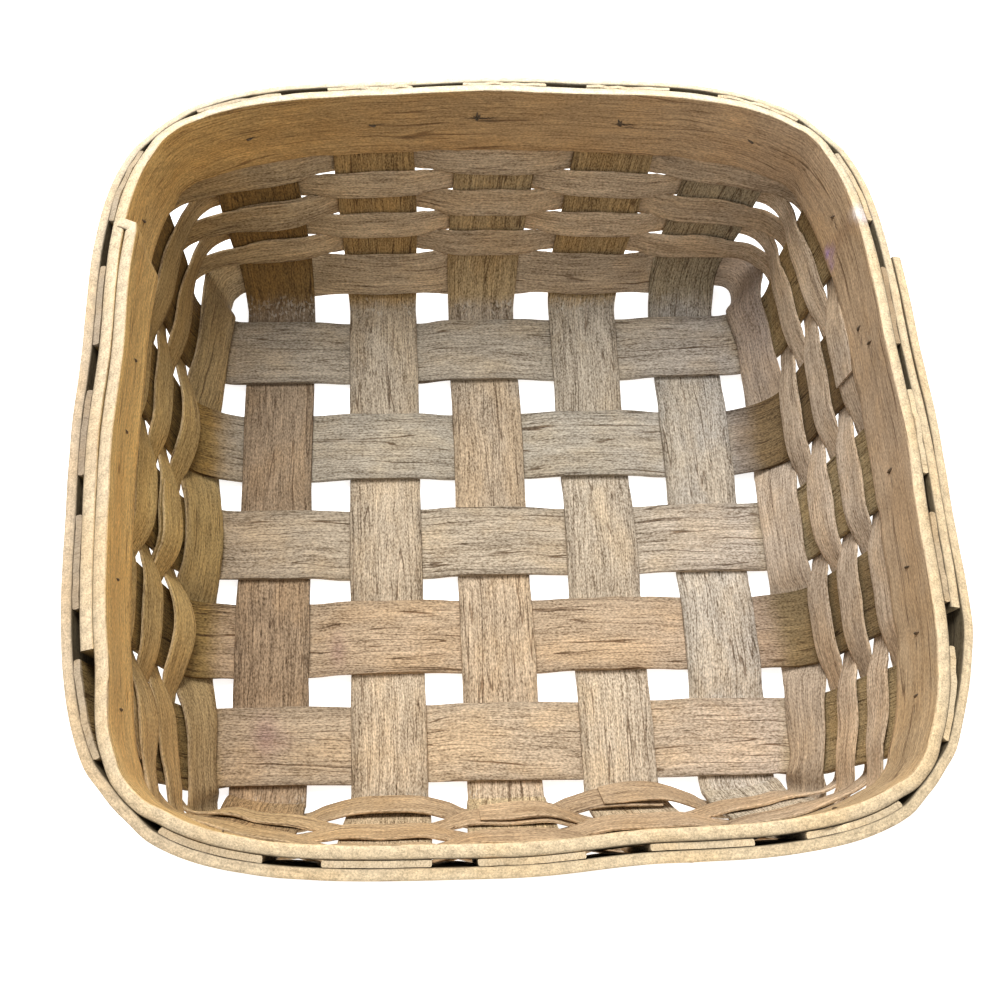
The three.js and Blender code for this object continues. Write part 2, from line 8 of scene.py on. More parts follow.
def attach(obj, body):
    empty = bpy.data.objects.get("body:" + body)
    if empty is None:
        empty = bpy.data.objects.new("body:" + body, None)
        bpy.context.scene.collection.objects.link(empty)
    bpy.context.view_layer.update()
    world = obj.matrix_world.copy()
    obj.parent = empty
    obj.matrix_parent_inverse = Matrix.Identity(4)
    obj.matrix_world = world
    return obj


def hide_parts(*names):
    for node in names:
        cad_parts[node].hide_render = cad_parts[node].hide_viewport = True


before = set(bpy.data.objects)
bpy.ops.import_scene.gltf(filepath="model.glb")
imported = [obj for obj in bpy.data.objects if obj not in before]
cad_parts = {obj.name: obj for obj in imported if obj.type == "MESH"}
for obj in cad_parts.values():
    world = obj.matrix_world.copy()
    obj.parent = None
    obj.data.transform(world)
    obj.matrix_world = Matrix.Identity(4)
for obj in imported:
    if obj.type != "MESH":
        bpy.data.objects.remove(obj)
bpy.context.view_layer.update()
scene = bpy.context.scene

# ------------------------------------------------------------- wall surface
SHIFT = np.array([-2.3477, -3.9932, 2.15])  # lattice middle in the basket's frame
PITCH = 44.0
SPLINT_T = 2.0
WEAVER_T = 1.3
BAND_T = 4.0
BAND_H = 28.2
RIM_Z = 92.4
BEND_R = 22.0
BASE_LIFT = 0.9
BASE_X = 106.9
BASE_Y = 109.2
TURN_X = math.radians(90 - 14.4)
TURN_Y = math.radians(90 - 15.4)
CORNER_LOW = 14.0
CORNER_HIGH = 4.17
CORNER_FADE = 17.0
RIM_FULLNESS = np.array(
    [3.1, -5.1, 6.1, 34.4, 33.0, 31.4, 39.2, 24.6, 20.0, 25.7, 2.7, -10.6, -0.3]
    + [-5.9, -8.3, -1.9, -13.0, -16.0, -15.4, -32.1, -19.4, 11.9, 5.8, -2.8]
)
FULLNESS_POWER = 2.5
# the near wall bows in by this much, every 6 mm up from the bottom
HOLLOW = np.array([0.8, 6.0, 8.9, 10.0, 10.4, 9.2, 7.2, 5.2, 3.6, 2.3, 1.4, 0.8, 0.4, 0.1])
# fuller or flatter places at the corners: angle, reach in degrees, mm low and high up
CORNERS = [
    (47.0, 8.6, 9.5, 9.5),
    (134.5, 8.5, 6.0, 6.0),
    (214.0, 9.0, -3.0, 0.0),
    (224.0, 8.0, 0.0, 3.0),
    (316.0, 8.0, 0.0, 4.0),
]
# middle of each splint at its near/left and far/right end of the bottom, and at the rim
FRONT_BACK = [
    ((-2.045, -2.0), (-2.26, -2.25)),
    ((-1.005, -0.998), (-1.1, -1.08)),
    ((-0.01, -0.02), (-0.015, 0.13)),
    ((1.0, 0.995), (1.21, 1.27)),
    ((2.03, 2.0), (2.35, 2.45)),
]
LEFT_RIGHT = [
    ((1.985, 2.035), (2.44, 2.44)),
    ((0.956, 0.952), (1.23, 1.19)),
    ((-0.045, -0.06), (0.06, -0.025)),
    ((-0.964, -0.99), (-1.04, -1.14)),
    ((-1.94, -1.975), (-2.2, -2.25)),
]
FB_WIDTH = (0.66, 0.765)
LR_WIDTH = (0.69, 0.765)


def smooth(x):
    x = np.clip(x, 0.0, 1.0)
    return x * x * (3 - 2 * x)


def wob(x, period, seed):
    """A smooth random curve of x, mostly within -1..1, that changes over period."""
    r = np.random.default_rng(seed).uniform(-1, 1, 2048)
    t = np.asarray(x, float) / period + 700.3
    i = np.floor(t).astype(int)
    f = t - i
    p, q, a, b = (r[(i + d) % 2048] for d in (-1, 0, 1, 2))
    return 0.5 * (
        2 * q
        + (a - p) * f
        + (2 * p - 5 * q + 4 * a - b) * f * f
        + (3 * q - p - 3 * a + b) * f**3
    )


def profile(s, base, turn):
    arc = BEND_R * turn
    b = min(max(s, 0.0), arc) / BEND_R
    r = max(0.0, s - arc)
    return (
        base + BEND_R * math.sin(b) + r * math.cos(turn),
        BASE_LIFT + BEND_R * (1 - math.cos(b)) + r * math.sin(turn),
    )


def top_s(turn):
    return BEND_R * turn + (RIM_Z - BASE_LIFT - BEND_R * (1 - math.cos(turn))) / math.sin(turn)


TOP = top_s(TURN_Y)
ARC = BEND_R * TURN_Y
S_LOW = TOP - BAND_H
SCALE_X = (top_s(TURN_X) - BEND_R * TURN_X) / (TOP - ARC)


def side_s(s):
    ax = BEND_R * TURN_X
    return s * ax / ARC if s < ARC else ax + (s - ARC) * SCALE_X


def fullness(a):
    n = len(RIM_FULLNESS)
    x = np.mod(a / (2 * math.pi) * n, n)
    i = np.floor(x).astype(int)
    f = x - i
    p, q, r, s = (RIM_FULLNESS[(i + d) % n] / 1000 for d in (-1, 0, 1, 2))
    return 0.5 * (
        2 * q
        + (r - p) * f
        + (2 * p - 5 * q + 4 * r - s) * f * f
        + (3 * q - p - 3 * r + s) * f**3
    )


def hollow(s):
    x = max(0.0, s) / 6
    i = int(x)
    f = x - i

    def at(j):
        return HOLLOW[max(j, 0)] if j < len(HOLLOW) else 0.0

    p, q, r, v = (at(j) for j in (i - 1, i, i + 1, i + 2))
    return q + 0.5 * f * (r - p + f * (2 * p - 5 * q + 4 * r - v + f * (3 * q - p - 3 * r + v)))


def swell(ang, s):
    high = float(smooth((s - 28) / 24))
    low = float(smooth(s / 10)) * (1 - high)
    fade = 1 - float(smooth((s - 56) / 50))
    out = np.zeros_like(ang)
    for at, wide, at_low, at_high in CORNERS:
        d = np.mod(np.degrees(ang) - at + 180, 360) - 180
        out += (at_low * low + at_high * high) * fade * np.exp(-((d / wide) ** 2))
    return out


UPRIGHTS = (
    [("right", j) for j in (4, 3, 2, 1, 0)]
    + [("far", i) for i in (4, 3, 2, 1, 0)]
    + [("left", j) for j in range(5)]
    + [("near", i) for i in range(5)]
)
RING = 1440
PER = 32  # table places to one unit round the basket, of which there are 60
DS = 1.0
S_LIST = np.arange(0, TOP + 4.0, DS)


def build_tables():
    ang = np.arange(RING + 1) / RING * 2 * math.pi - math.pi / 4
    c, q = np.cos(ang), np.sin(ang)
    places = np.zeros((len(S_LIST), 60 * PER, 3))
    dists = np.zeros((len(S_LIST), 60 * PER))
    for row, s in enumerate(S_LIST):
        dy, zy = profile(s, BASE_Y, TURN_Y)
        dx, zx = profile(side_s(s), BASE_X, TURN_X)
        t = min(1.0, s / TOP)
        n = CORNER_HIGH + (CORNER_LOW - CORNER_HIGH) * math.exp(-s / CORNER_FADE)
        r = ((np.abs(c) / dx) ** n + (np.abs(q) / dy) ** n) ** (-1 / n)
        bowed = (
            (q < 0)
            * hollow(float(s))
            * (1 - smooth((np.abs(r * c) - 97) / 23))
            * smooth((np.abs(r * q) / dy - 0.7) / 0.18)
        )
        r = r * (1 + fullness(ang) * t**FULLNESS_POWER) + swell(ang, float(s))
        pts = np.stack([r * c, r * q + bowed, c * c * zx + q * q * zy], 1)
        cum = np.concatenate(
            [[0], np.cumsum(np.hypot(np.diff(pts[:, 0]), np.diff(pts[:, 1])))]
        )
        knots = []
        for wall, k in UPRIGHTS:
            ends = wall in ("far", "near")
            at, top = (FRONT_BACK if ends else LEFT_RIGHT)[k]
            e = 1 if wall in ("far", "right") else 0
            lat = PITCH * (at[e] + (top[e] - at[e]) * t)
            quarter = ("right", "far", "left", "near").index(wall)
            lo, hi = quarter * RING // 4, (quarter + 1) * RING // 4
            axis = pts[lo : hi + 1, 0 if ends else 1]
            d = cum[lo : hi + 1]
            if axis[-1] < axis[0]:
                axis, d = axis[::-1], d[::-1]
            mid = np.interp(lat, axis, d)
            w = FB_WIDTH if ends else LR_WIDTH
            half = PITCH * (w[0] + (w[1] - w[0]) * (1 - math.exp(-s / 28))) / 2
            knots += [mid - half, mid, mid + half]
        knots.append(knots[0] + cum[-1])
        u = np.arange(60 * PER) / PER
        d = np.interp(u, np.arange(61), knots)
        dists[row] = d
        wrapped = np.mod(d, cum[-1])
        for a in range(3):
            places[row, :, a] = np.interp(wrapped, cum, pts[:, a])
    along = np.roll(places, -1, 1) - np.roll(places, 1, 1)
    along /= np.linalg.norm(along, axis=2, keepdims=True)
    up = np.gradient(places, axis=0)
    out = np.cross(along, up)
    out /= np.linalg.norm(out, axis=2, keepdims=True)
    return places, dists, along, out


PLACES, DISTS, ALONG, OUT = build_tables()


def look(table, u, s):
    """The table's value at place u round the basket and arc length s up the wall."""
    u, s = np.broadcast_arrays(np.asarray(u, float), np.asarray(s, float))
    x = np.mod(u, 60) * PER
    y = np.clip(s / DS, 0, len(S_LIST) - 1.001)
    i, j = np.floor(x).astype(int) % (60 * PER), np.floor(y).astype(int)
    fx, fy = (x - np.floor(x))[..., None], (y - j)[..., None]
    k = (i + 1) % (60 * PER)
    a = table[j, i] * (1 - fx) + table[j, k] * fx
    b = table[j + 1, i] * (1 - fx) + table[j + 1, k] * fx
    return a * (1 - fy) + b * fy


def wall(u, s, out=0.0):
    u, s, out = np.broadcast_arrays(
        np.asarray(u, float), np.asarray(s, float), np.asarray(out, float)
    )
    n = look(OUT, u, s)
    n /= np.linalg.norm(n, axis=-1, keepdims=True)
    return look(PLACES, u, s) + n * out[..., None]


def run_round(s, u0, u1, step):
    """Places from u0 to u1, spaced step mm apart at arc length s, and their distances."""
    n = int(abs(u1 - u0) * 24) + 2
    u = np.linspace(u0, u1, n)
    p = wall(u, s)
    d = np.concatenate([[0], np.cumsum(np.linalg.norm(np.diff(p, axis=0), axis=1))])
    m = int(d[-1] / step) + 1
    dd = np.linspace(0, d[-1], m)
    return np.interp(dd, d, u), dd, (u, d)


def spline(x, y, at):
    """Natural cubic spline through (x, y)."""
    x, y = np.asarray(x, float), np.asarray(y, float)
    n = len(x)
    h = np.diff(x)
    A = np.zeros((n, n))
    r = np.zeros(n)
    A[0, 0] = A[-1, -1] = 1
    for i in range(1, n - 1):
        A[i, i - 1], A[i, i], A[i, i + 1] = h[i - 1], 2 * (h[i - 1] + h[i]), h[i]
        r[i] = 6 * ((y[i + 1] - y[i]) / h[i] - (y[i] - y[i - 1]) / h[i - 1])
    m = np.linalg.solve(A, r)
    i = np.clip(np.searchsorted(x, at) - 1, 0, n - 2)
    a, b = x[i + 1] - at, at - x[i]
    return (
        (m[i] * a**3 + m[i + 1] * b**3) / (6 * h[i])
        + (y[i] / h[i] - m[i] * h[i] / 6) * a
        + (y[i + 1] / h[i] - m[i + 1] * h[i] / 6) * b
    )


# ------------------------------------------------------------------ colours
def rgb(r, g, b):
    """Linear colour from display values of 0 to 255."""
    v = np.array([r, g, b], float) / 255
    return np.where(v <= 0.04045, v / 12.92, ((v + 0.055) / 1.055) ** 2.4)


def mix(a, b, f):
    f = np.asarray(f, float)[..., None]
    return np.asarray(a) * (1 - f) + np.asarray(b) * f


def around(p, right, far, left, near):
    """A colour that turns smoothly round the basket through four anchors."""
    a = np.mod(np.arctan2(p[..., 1], p[..., 0]) / (math.pi / 2), 4)
    ring = np.array([right, far, left, near])
    i = np.floor(a).astype(int) % 4
    f = smooth(a - np.floor(a))[..., None]
    return ring[i] * (1 - f) + ring[(i + 1) % 4] * f


def spot(p, centre, radii):
    """1 at the middle of a soft oval stain, 0 outside it."""
    d = (p - np.array(centre)) / np.array(radii)
    return np.exp(-np.sum(d * d, axis=-1) * 1.2)


def drip(p, ends, radius):
    """1 on the line between two places, fading to 0 at about the radius."""
    a, b = (np.array(v) for v in ends)
    t = np.clip(((p - a) @ (b - a)) / np.dot(b - a, b - a), 0, 1)[..., None]
    d = np.linalg.norm(p - a - t * (b - a), axis=-1) / radius
    return np.exp(-d * d * 1.4)


# -------------------------------------------------------------- strip meshes
def mesh_object(name, verts, faces, points):
    """verts in mm before the shift; points is {attribute: (kind, values)} per vertex."""
    me = bpy.data.meshes.new(name)
    at = verts + SHIFT
    at[:, 2] = np.maximum(at[:, 2], 0.0)  # the lowest edges are worn flat
    me.from_pydata((at / 1000).tolist(), [], faces)
    me.update()
    for key, (kind, values) in points.items():
        a = me.attributes.new(key, kind, "POINT")
        values = np.asarray(values, np.float32)
        if kind == "FLOAT_COLOR":
            values = np.concatenate([values, np.ones((len(values), 1), np.float32)], 1)
            a.data.foreach_set("color", values.ravel())
        elif kind == "FLOAT_VECTOR":
            a.data.foreach_set("vector", values.ravel())
        else:
            a.data.foreach_set("value", values.ravel())
    me.shade_smooth()
    me.set_sharp_from_angle(angle=math.radians(58))
    ob = bpy.data.objects.new(name, me)
    scene.collection.objects.link(ob)
    return ob


def strip(name, G, cols, edge_h, thick, half, tint, extra=None, seed=0, hint=None):
    """A strip from its middle surface G[station, column], thickness thick[station] and
    half width half[station].  tint(p, c, h, L) gives the colour of each point, where c
    runs -1..1 over the width and h -1..1 through the thickness.  hint[station, column]
    is the side that h = 1 faces."""
    n, mc = G.shape[:2]
    ta = np.gradient(G, axis=0)
    tc = np.gradient(G, cols, axis=1)
    N = np.cross(ta, tc)
    N /= np.maximum(np.linalg.norm(N, axis=2, keepdims=True), 1e-9)
    if hint is not None:
        N *= np.where(np.sum(N * hint, axis=2, keepdims=True) < 0, -1, 1)
    # a section's points in order: the h = 1 face, the c = 1 edge, the h = -1 face, the c = -1 edge
    loop = [(j, 1.0) for j in range(1, mc - 1)]
    loop += [(mc - 1, h) for h in edge_h]
    loop += [(j, -1.0) for j in range(mc - 2, 0, -1)]
    loop += [(0, -h) for h in edge_h]
    K = len(loop)
    cj = np.array([j for j, _ in loop])
    hh = np.array([h for _, h in loop])
    T = np.asarray(thick)
    if T.ndim == 1:
        T = np.repeat(T[:, None], mc, 1)
    P = G[:, cj] + N[:, cj] * (hh * T[:, cj] / 2)[..., None]
    mid = G[:, mc // 2]
    L = np.concatenate([[0], np.cumsum(np.linalg.norm(np.diff(mid, axis=0), axis=1))])
    cc = np.repeat(np.asarray(cols)[cj][None], n, 0)
    HH = np.repeat(hh[None], n, 0)
    LL = np.repeat(L[:, None], K, 1)
    grain = np.stack(
        [LL, cc * np.asarray(half)[:, None], HH * T[:, cj] / 2 + seed * 37.0], 2
    )
    colour = tint(P, cc, HH, LL)
    edge = np.repeat(np.where(np.abs(np.asarray(cols)[cj]) > 0.9999, 1.0, 0.0)[None], n, 0)
    faces = []
    base = np.arange(n - 1)[:, None] * K
    j0 = np.arange(K)
    j1 = (j0 + 1) % K
    quads = np.stack([base + j0, base + j1, base + K + j1, base + K + j0], 2).reshape(-1, 4)
    faces = quads.tolist()
    m = mc - 2  # points on each broad face
    e = len(edge_h)

    def cap(o, flip):
        top = list(range(m))
        low = [2 * m + e - 1 - i for i in range(m)]
        polys = [[top[i], top[i + 1], low[i + 1], low[i]] for i in range(m - 1)]
        polys.append([top[-1]] + list(range(m, m + e)) + [low[-1]])
        polys.append([low[0]] + list(range(2 * m + e, 2 * m + 2 * e)) + [top[0]])
        for f in polys:
            f = [o + v for v in f]
            faces.append(f if not flip else f[::-1])

    cap(0, True)
    cap((n - 1) * K, False)
    V = P.reshape(-1, 3)
    # faces turned round if the closed strip encloses a negative volume
    a, b, c, d = (V[quads[:, i]] for i in range(4))
    vol = np.sum(np.cross(a, b) * c + np.cross(a, c) * d)
    if vol < 0:
        faces = [f[::-1] for f in faces]
    points = {
        "grain": ("FLOAT_VECTOR", grain.reshape(-1, 3) / 1000),
        "tint": ("FLOAT_COLOR", np.clip(colour, 0, 4).reshape(-1, 3)),
        "edge": ("FLOAT", edge.ravel()),
    }
    for key, value in (extra or {}).items():
        points[key] = ("FLOAT", np.broadcast_to(value(P, cc, HH, LL), (n, K)).ravel())
    return mesh_object(name, V, faces, points)


# ----------------------------------------------------------------- materials
class Nodes:
    def __init__(self, name):
        self.mat = bpy.data.materials.new(name)
        self.mat.use_nodes = True
        self.t = self.mat.node_tree
        self.t.nodes.clear()
        self.out = self.t.nodes.new("ShaderNodeOutputMaterial")

    def put(self, socket, value):
        if isinstance(value, bpy.types.NodeSocket):
            self.t.links.new(value, socket)
        else:
            socket.default_value = value

    def attr(self, name, kind="Fac"):
        n = self.t.nodes.new("ShaderNodeAttribute")
        n.attribute_name = name
        return n.outputs[kind]

    def math(self, op, a, b=None, c=None, clamp=False):
        n = self.t.nodes.new("ShaderNodeMath")
        n.operation = op
        n.use_clamp = clamp
        for i, v in enumerate((a, b, c)):
            if v is not None:
                self.put(n.inputs[i], v)
        return n.outputs[0]

    def vec(self, op, a, b=None):
        n = self.t.nodes.new("ShaderNodeVectorMath")
        n.operation = op
        self.put(n.inputs[0], a)
        if b is not None:
            self.put(n.inputs[1], b)
        return n.outputs[0]

    def noise(self, at, scale, detail=2.0, rough=0.5, offset=(0, 0, 0)):
        v = self.vec("ADD", self.vec("MULTIPLY", at, scale), offset)
        n = self.t.nodes.new("ShaderNodeTexNoise")
        n.noise_dimensions = "3D"
        n.inputs["Scale"].default_value = 1.0
        n.inputs["Detail"].default_value = detail
        n.inputs["Roughness"].default_value = rough
        self.put(n.inputs["Vector"], v)
        return n.outputs[0]

    def ramp(self, x, lo, hi, to_lo=0.0, to_hi=1.0, kind="SMOOTHSTEP"):
        n = self.t.nodes.new("ShaderNodeMapRange")
        n.interpolation_type = kind
        self.put(n.inputs["Value"], x)
        for key, v in (
            ("From Min", lo),
            ("From Max", hi),
            ("To Min", to_lo),
            ("To Max", to_hi),
        ):
            self.put(n.inputs[key], v)
        return n.outputs[0]

    def mix(self, f, a, b, blend="MIX"):
        n = self.t.nodes.new("ShaderNodeMix")
        n.data_type = "RGBA"
        n.blend_type = blend
        self.put(n.inputs[0], f)
        self.put(n.inputs[6], a)
        self.put(n.inputs[7], b)
        return n.outputs[2]

    def scale(self, colour, f):
        n = self.t.nodes.new("ShaderNodeVectorMath")
        n.operation = "SCALE"
        self.put(n.inputs[0], colour)
        self.put(n.inputs["Scale"], f)
        return n.outputs[0]

    def split(self, v):
        n = self.t.nodes.new("ShaderNodeSeparateXYZ")
        self.put(n.inputs[0], v)
        return n.outputs

    def join(self, x, y, z):
        n = self.t.nodes.new("ShaderNodeCombineXYZ")
        for i, v in enumerate((x, y, z)):
            self.put(n.inputs[i], v)
        return n.outputs[0]


def wood(
    name,
    seed=0.0,
    streak=0.35,
    fibre=0.35,
    speck=0.16,
    mottle=0.25,
    lines=0.5,
    line_pitch=260.0,
    line_run=8.0,
    line_levels=4.0,
    strokes=0.35,
    rough=0.78,
    bump=0.5,
    crease=0.0,
    saw=0.0,
    scratch=0.0,
    gloss=0.25,
    fray=0.0,
    cracks=(),
):
    """Split wood whose grain runs along the strip: attribute grain is (along, across,
    through) in metres, attribute tint the large-scale colour."""
    k = Nodes(name)
    g = k.attr("grain", "Vector")
    off = (seed * 3.1, seed * 1.7, seed * 0.9)
    # fibres wander a little sideways
    drift = k.math("SUBTRACT", k.noise(g, (22, 40, 40), 1.0, 0.5, off), 0.5)
    drift2 = k.math("SUBTRACT", k.noise(g, (110, 160, 160), 1.0, 0.5, off), 0.5)
    x, y, z = k.split(g)
    true_y = y
    side = k.math("ADD", k.math("MULTIPLY", drift, 0.0042), k.math("MULTIPLY", drift2, 0.0009))
    y = k.math("ADD", y, side)
    g = k.join(x, y, z)
    broad = k.noise(g, (9, 110, 110), 2.0, 0.55, off)
    mid = k.noise(g, (26, 620, 620), 2.0, 0.6, off)
    fine = k.noise(g, (75, 1900, 1900), 2.0, 0.6, off)
    grit = k.noise(g, (900, 1800, 1800), 1.0, 0.5, off)
    blotch = k.noise(g, (34, 60, 60), 3.0, 0.55, off)
    # long dark grain lines: contours of a stretched noise
    field = k.noise(g, (line_run, line_pitch, line_pitch * 0.4), 1.0, 0.45, off)
    ridge = k.math(
        "ABSOLUTE",
        k.math("SUBTRACT", k.math("FRACT", k.math("MULTIPLY", field, line_levels)), 0.5),
    )
    line = k.ramp(ridge, 0.014, 0.06, 1.0, 0.0)
    broken = k.ramp(k.noise(g, (38, 300, 300), 2.0, 0.6, off), 0.38, 0.54)
    line = k.math("MULTIPLY", line, broken)
    # short dark strokes, the open vessels of the wood
    pore = k.ramp(k.noise(g, (260, 2300, 2300), 1.0, 0.5, off), 0.60, 0.70)
    pore = k.math("MULTIPLY", pore, k.ramp(k.noise(g, (60, 380, 380), 1.0, 0.5, off), 0.45, 0.6))

    def swing(n, amount):
        return k.math("MULTIPLY", k.math("SUBTRACT", n, 0.5), amount * 2)

    value = k.math("ADD", 1.0, swing(broad, mottle))
    for n, amount in ((mid, streak), (fine, fibre), (grit, speck), (blotch, mottle * 0.9)):
        value = k.math("ADD", value, swing(n, amount))
    value = k.math("MAXIMUM", value, 0.25)
    if saw or crease:
        # sawn edges and cut ends show end grain, not fibres
        if saw:
            cut = k.attr("edge")
        else:
            cut = k.ramp(k.attr("bend"), TOP - 1.8, TOP - 0.7)
        calm = k.math("SUBTRACT", 1.0, k.math("MULTIPLY", cut, 0.78 if saw else 0.6))
        value = k.math("ADD", 1.0, k.math("MULTIPLY", k.math("SUBTRACT", value, 1.0), calm))
        line = k.math("MULTIPLY", line, calm)
        pore = k.math("MULTIPLY", pore, calm)
    colour = k.scale(k.attr("tint", "Color"), value)
    # the dark between fibres is brown
    brown = k.mix(1.0, colour, (1.0, 0.90, 0.78, 1), "MULTIPLY")
    colour = k.mix(k.ramp(value, 0.40, 0.98, 1.0, 0.0), colour, brown)
    # warmth follows the broad bands a little
    warm = k.mix(0.5, colour, (1.0, 0.90, 0.74, 1), "MULTIPLY")
    colour = k.mix(k.ramp(blotch, 0.42, 0.66), colour, warm)
    dark = k.mix(1.0, colour, (0.30, 0.235, 0.18, 1), "MULTIPLY")
    colour = k.mix(k.math("MULTIPLY", line, lines), colour, dark)
    colour = k.mix(k.math("MULTIPLY", pore, strokes), colour, dark)
    height = k.math("ADD", k.math("MULTIPLY", mid, 0.35), k.math("MULTIPLY", fine, 0.45))
    height = k.math("ADD", height, k.math("MULTIPLY", grit, 0.2))
    height = k.math("SUBTRACT", height, k.math("MULTIPLY", line, 0.7 * min(1, lines * 1.5)))
    height = k.math("SUBTRACT", height, k.math("MULTIPLY", pore, 0.35))
    if crease:
        # fibres broken across where the splint was bent up
        b = k.attr("bend")
        b = k.math("ADD", b, swing(k.noise(g, (300, 420, 420), 2.0, 0.6, off), 5.0))
        here = k.ramp(k.math("ABSOLUTE", k.math("SUBTRACT", b, 1.2)), 0.15, 0.5, 1.0, 0.0)
        gap = k.ramp(k.noise(g, (60, 170, 170), 1.0, 0.5, off), 0.40, 0.55)
        here = k.math("MULTIPLY", here, gap)
        pale = k.ramp(k.math("ABSOLUTE", k.math("SUBTRACT", b, 2.4)), 0.2, 0.8, 1.0, 0.0)
        pale = k.math("MULTIPLY", pale, gap)
        colour = k.mix(k.math("MULTIPLY", here, crease), colour, dark)
        light = k.mix(0.6, colour, (0.62, 0.55, 0.44, 1))
        colour = k.mix(k.math("MULTIPLY", pale, crease * 0.6), colour, light)
        height = k.math("SUBTRACT", height, k.math("MULTIPLY", here, crease))
        height = k.math("ADD", height, k.math("MULTIPLY", pale, crease * 0.6))
    if fray:
        # lifted, bleached fibres in patches along the bend
        b = k.attr("bend")
        zone = k.ramp(k.math("ABSOLUTE", k.math("SUBTRACT", b, 1.0)), 2.0, 7.0, 1.0, 0.0)
        spots = k.ramp(k.noise(g, (380, 760, 760), 3.0, 0.65, off), 0.53, 0.60)
        area = k.ramp(k.noise(g, (90, 70, 70), 2.0, 0.5, off), 0.44, 0.60)
        f = k.math("MULTIPLY", k.math("MULTIPLY", zone, spots), area)
        light = k.mix(0.65, colour, (0.66, 0.60, 0.50, 1))
        colour = k.mix(k.math("MULTIPLY", f, fray * 0.7), colour, light)
        height = k.math("ADD", height, k.math("MULTIPLY", f, fray * 0.9))
    if saw:
        # slanting saw marks on the edges
        e = k.attr("edge")
        sx, sy, sz = k.split(g)
        phase = k.math("ADD", k.math("MULTIPLY", sx, 900.0), k.math("MULTIPLY", sz, 700.0))
        phase = k.math("ADD", phase, swing(k.noise(g, (90, 90, 260), 2.0, 0.6, off), 3.5))
        tooth = k.math("MULTIPLY", k.math("SINE", phase), 0.5)
        soft = k.noise(g, (500, 500, 1400), 2.0, 0.6, off)
        mark = k.math("ADD", k.math("MULTIPLY", tooth, 0.5), swing(soft, 0.5))
        stipple = k.noise(g, (1500, 1500, 1500), 2.0, 0.7, off)
        mark = k.math("ADD", mark, swing(stipple, 2.4))
        mark = k.math("MULTIPLY", mark, e)
        colour = k.scale(colour, k.math("ADD", 1.0, k.math("MULTIPLY", mark, saw)))
        height = k.math("ADD", height, k.math("MULTIPLY", mark, saw * 1.2))
    if scratch:
        # slanting scratches and tool marks over the broad face, in patches
        sx, sy, sz = k.split(g)
        across = k.math("ADD", k.math("MULTIPLY", sx, 0.55), k.math("MULTIPLY", sy, 0.83))
        down = k.math("SUBTRACT", k.math("MULTIPLY", sx, 0.83), k.math("MULTIPLY", sy, 0.55))
        v = k.join(k.math("MULTIPLY", across, 520.0), k.math("MULTIPLY", down, 22.0), k.math("MULTIPLY", sz, 100.0))
        s1 = k.noise(v, (1, 1, 1), 2.0, 0.6, off)
        patch = k.ramp(k.noise(g, (16, 30, 30), 1.0, 0.5, off), 0.46, 0.62)
        patch = k.math("MULTIPLY", patch, k.math("SUBTRACT", 1.0, k.attr("edge")))
        m = k.math("MULTIPLY", swing(s1, scratch), patch)
        colour = k.scale(colour, k.math("ADD", 1.0, m))
        height = k.math("ADD", height, k.math("MULTIPLY", m, 0.5))
    # splits that a driven tack opened along the grain
    wiggle = k.math("SUBTRACT", k.noise(g, (500, 60, 60), 2.0, 0.6, off), 0.5) if cracks else None
    for cx, cy, length, depth in cracks:
        dx = k.math("ABSOLUTE", k.math("SUBTRACT", x, cx))
        dy = k.math("ADD", k.math("SUBTRACT", true_y, cy), k.math("MULTIPLY", wiggle, 0.0016))
        open_ = k.ramp(k.math("ABSOLUTE", dy), 0.0001, 0.0006, 1.0, 0.0)
        open_ = k.math("MULTIPLY", open_, k.ramp(dx, 0.15 * length, length, 1.0, 0.0))
        open_ = k.math("MULTIPLY", open_, depth)
        colour = k.mix(open_, colour, (0.035, 0.02, 0.012, 1))
        height = k.math("SUBTRACT", height, k.math("MULTIPLY", open_, 1.2))
    b = k.t.nodes.new("ShaderNodeBump")
    b.inputs["Strength"].default_value = bump
    b.inputs["Distance"].default_value = 0.0004
    k.put(b.inputs["Height"], height)
    s = k.t.nodes.new("ShaderNodeBsdfPrincipled")
    k.put(s.inputs["Base Color"], colour)
    k.put(s.inputs["Normal"], b.outputs[0])
    k.put(
        s.inputs["Roughness"],
        k.math("ADD", rough, swing(mid, 0.10), clamp=True),
    )
    s.inputs["Specular IOR Level"].default_value = gloss
    k.t.links.new(s.outputs[0], k.out.inputs["Surface"])
    return k.mat


def iron(name, seed):
    k = Nodes(name)
    n = k.t.nodes.new("ShaderNodeTexCoord")
    at = n.outputs["Object"]
    rust = k.noise(at, (700, 700, 700), 3.0, 0.6, (seed, 0, 0))
    fleck = k.noise(at, (2600, 2600, 2600), 2.0, 0.5, (0, seed, 0))
    colour = k.mix(
        k.ramp(rust, 0.42, 0.62), (0.10, 0.075, 0.05, 1), (0.20, 0.13, 0.075, 1)
    )
    colour = k.mix(k.ramp(fleck, 0.55, 0.72), colour, (0.30, 0.25, 0.18, 1))
    s = k.t.nodes.new("ShaderNodeBsdfPrincipled")
    k.put(s.inputs["Base Color"], colour)
    k.put(s.inputs["Roughness"], k.ramp(fleck, 0.3, 0.7, 0.45, 0.8))
    s.inputs["Metallic"].default_value = 0.55
    b = k.t.nodes.new("ShaderNodeBump")
    b.inputs["Strength"].default_value = 0.5
    b.inputs["Distance"].default_value = 0.0002
    k.put(b.inputs["Height"], rust)
    k.put(s.inputs["Normal"], b.outputs[0])
    k.t.links.new(s.outputs[0], k.out.inputs["Surface"])
    return k.mat


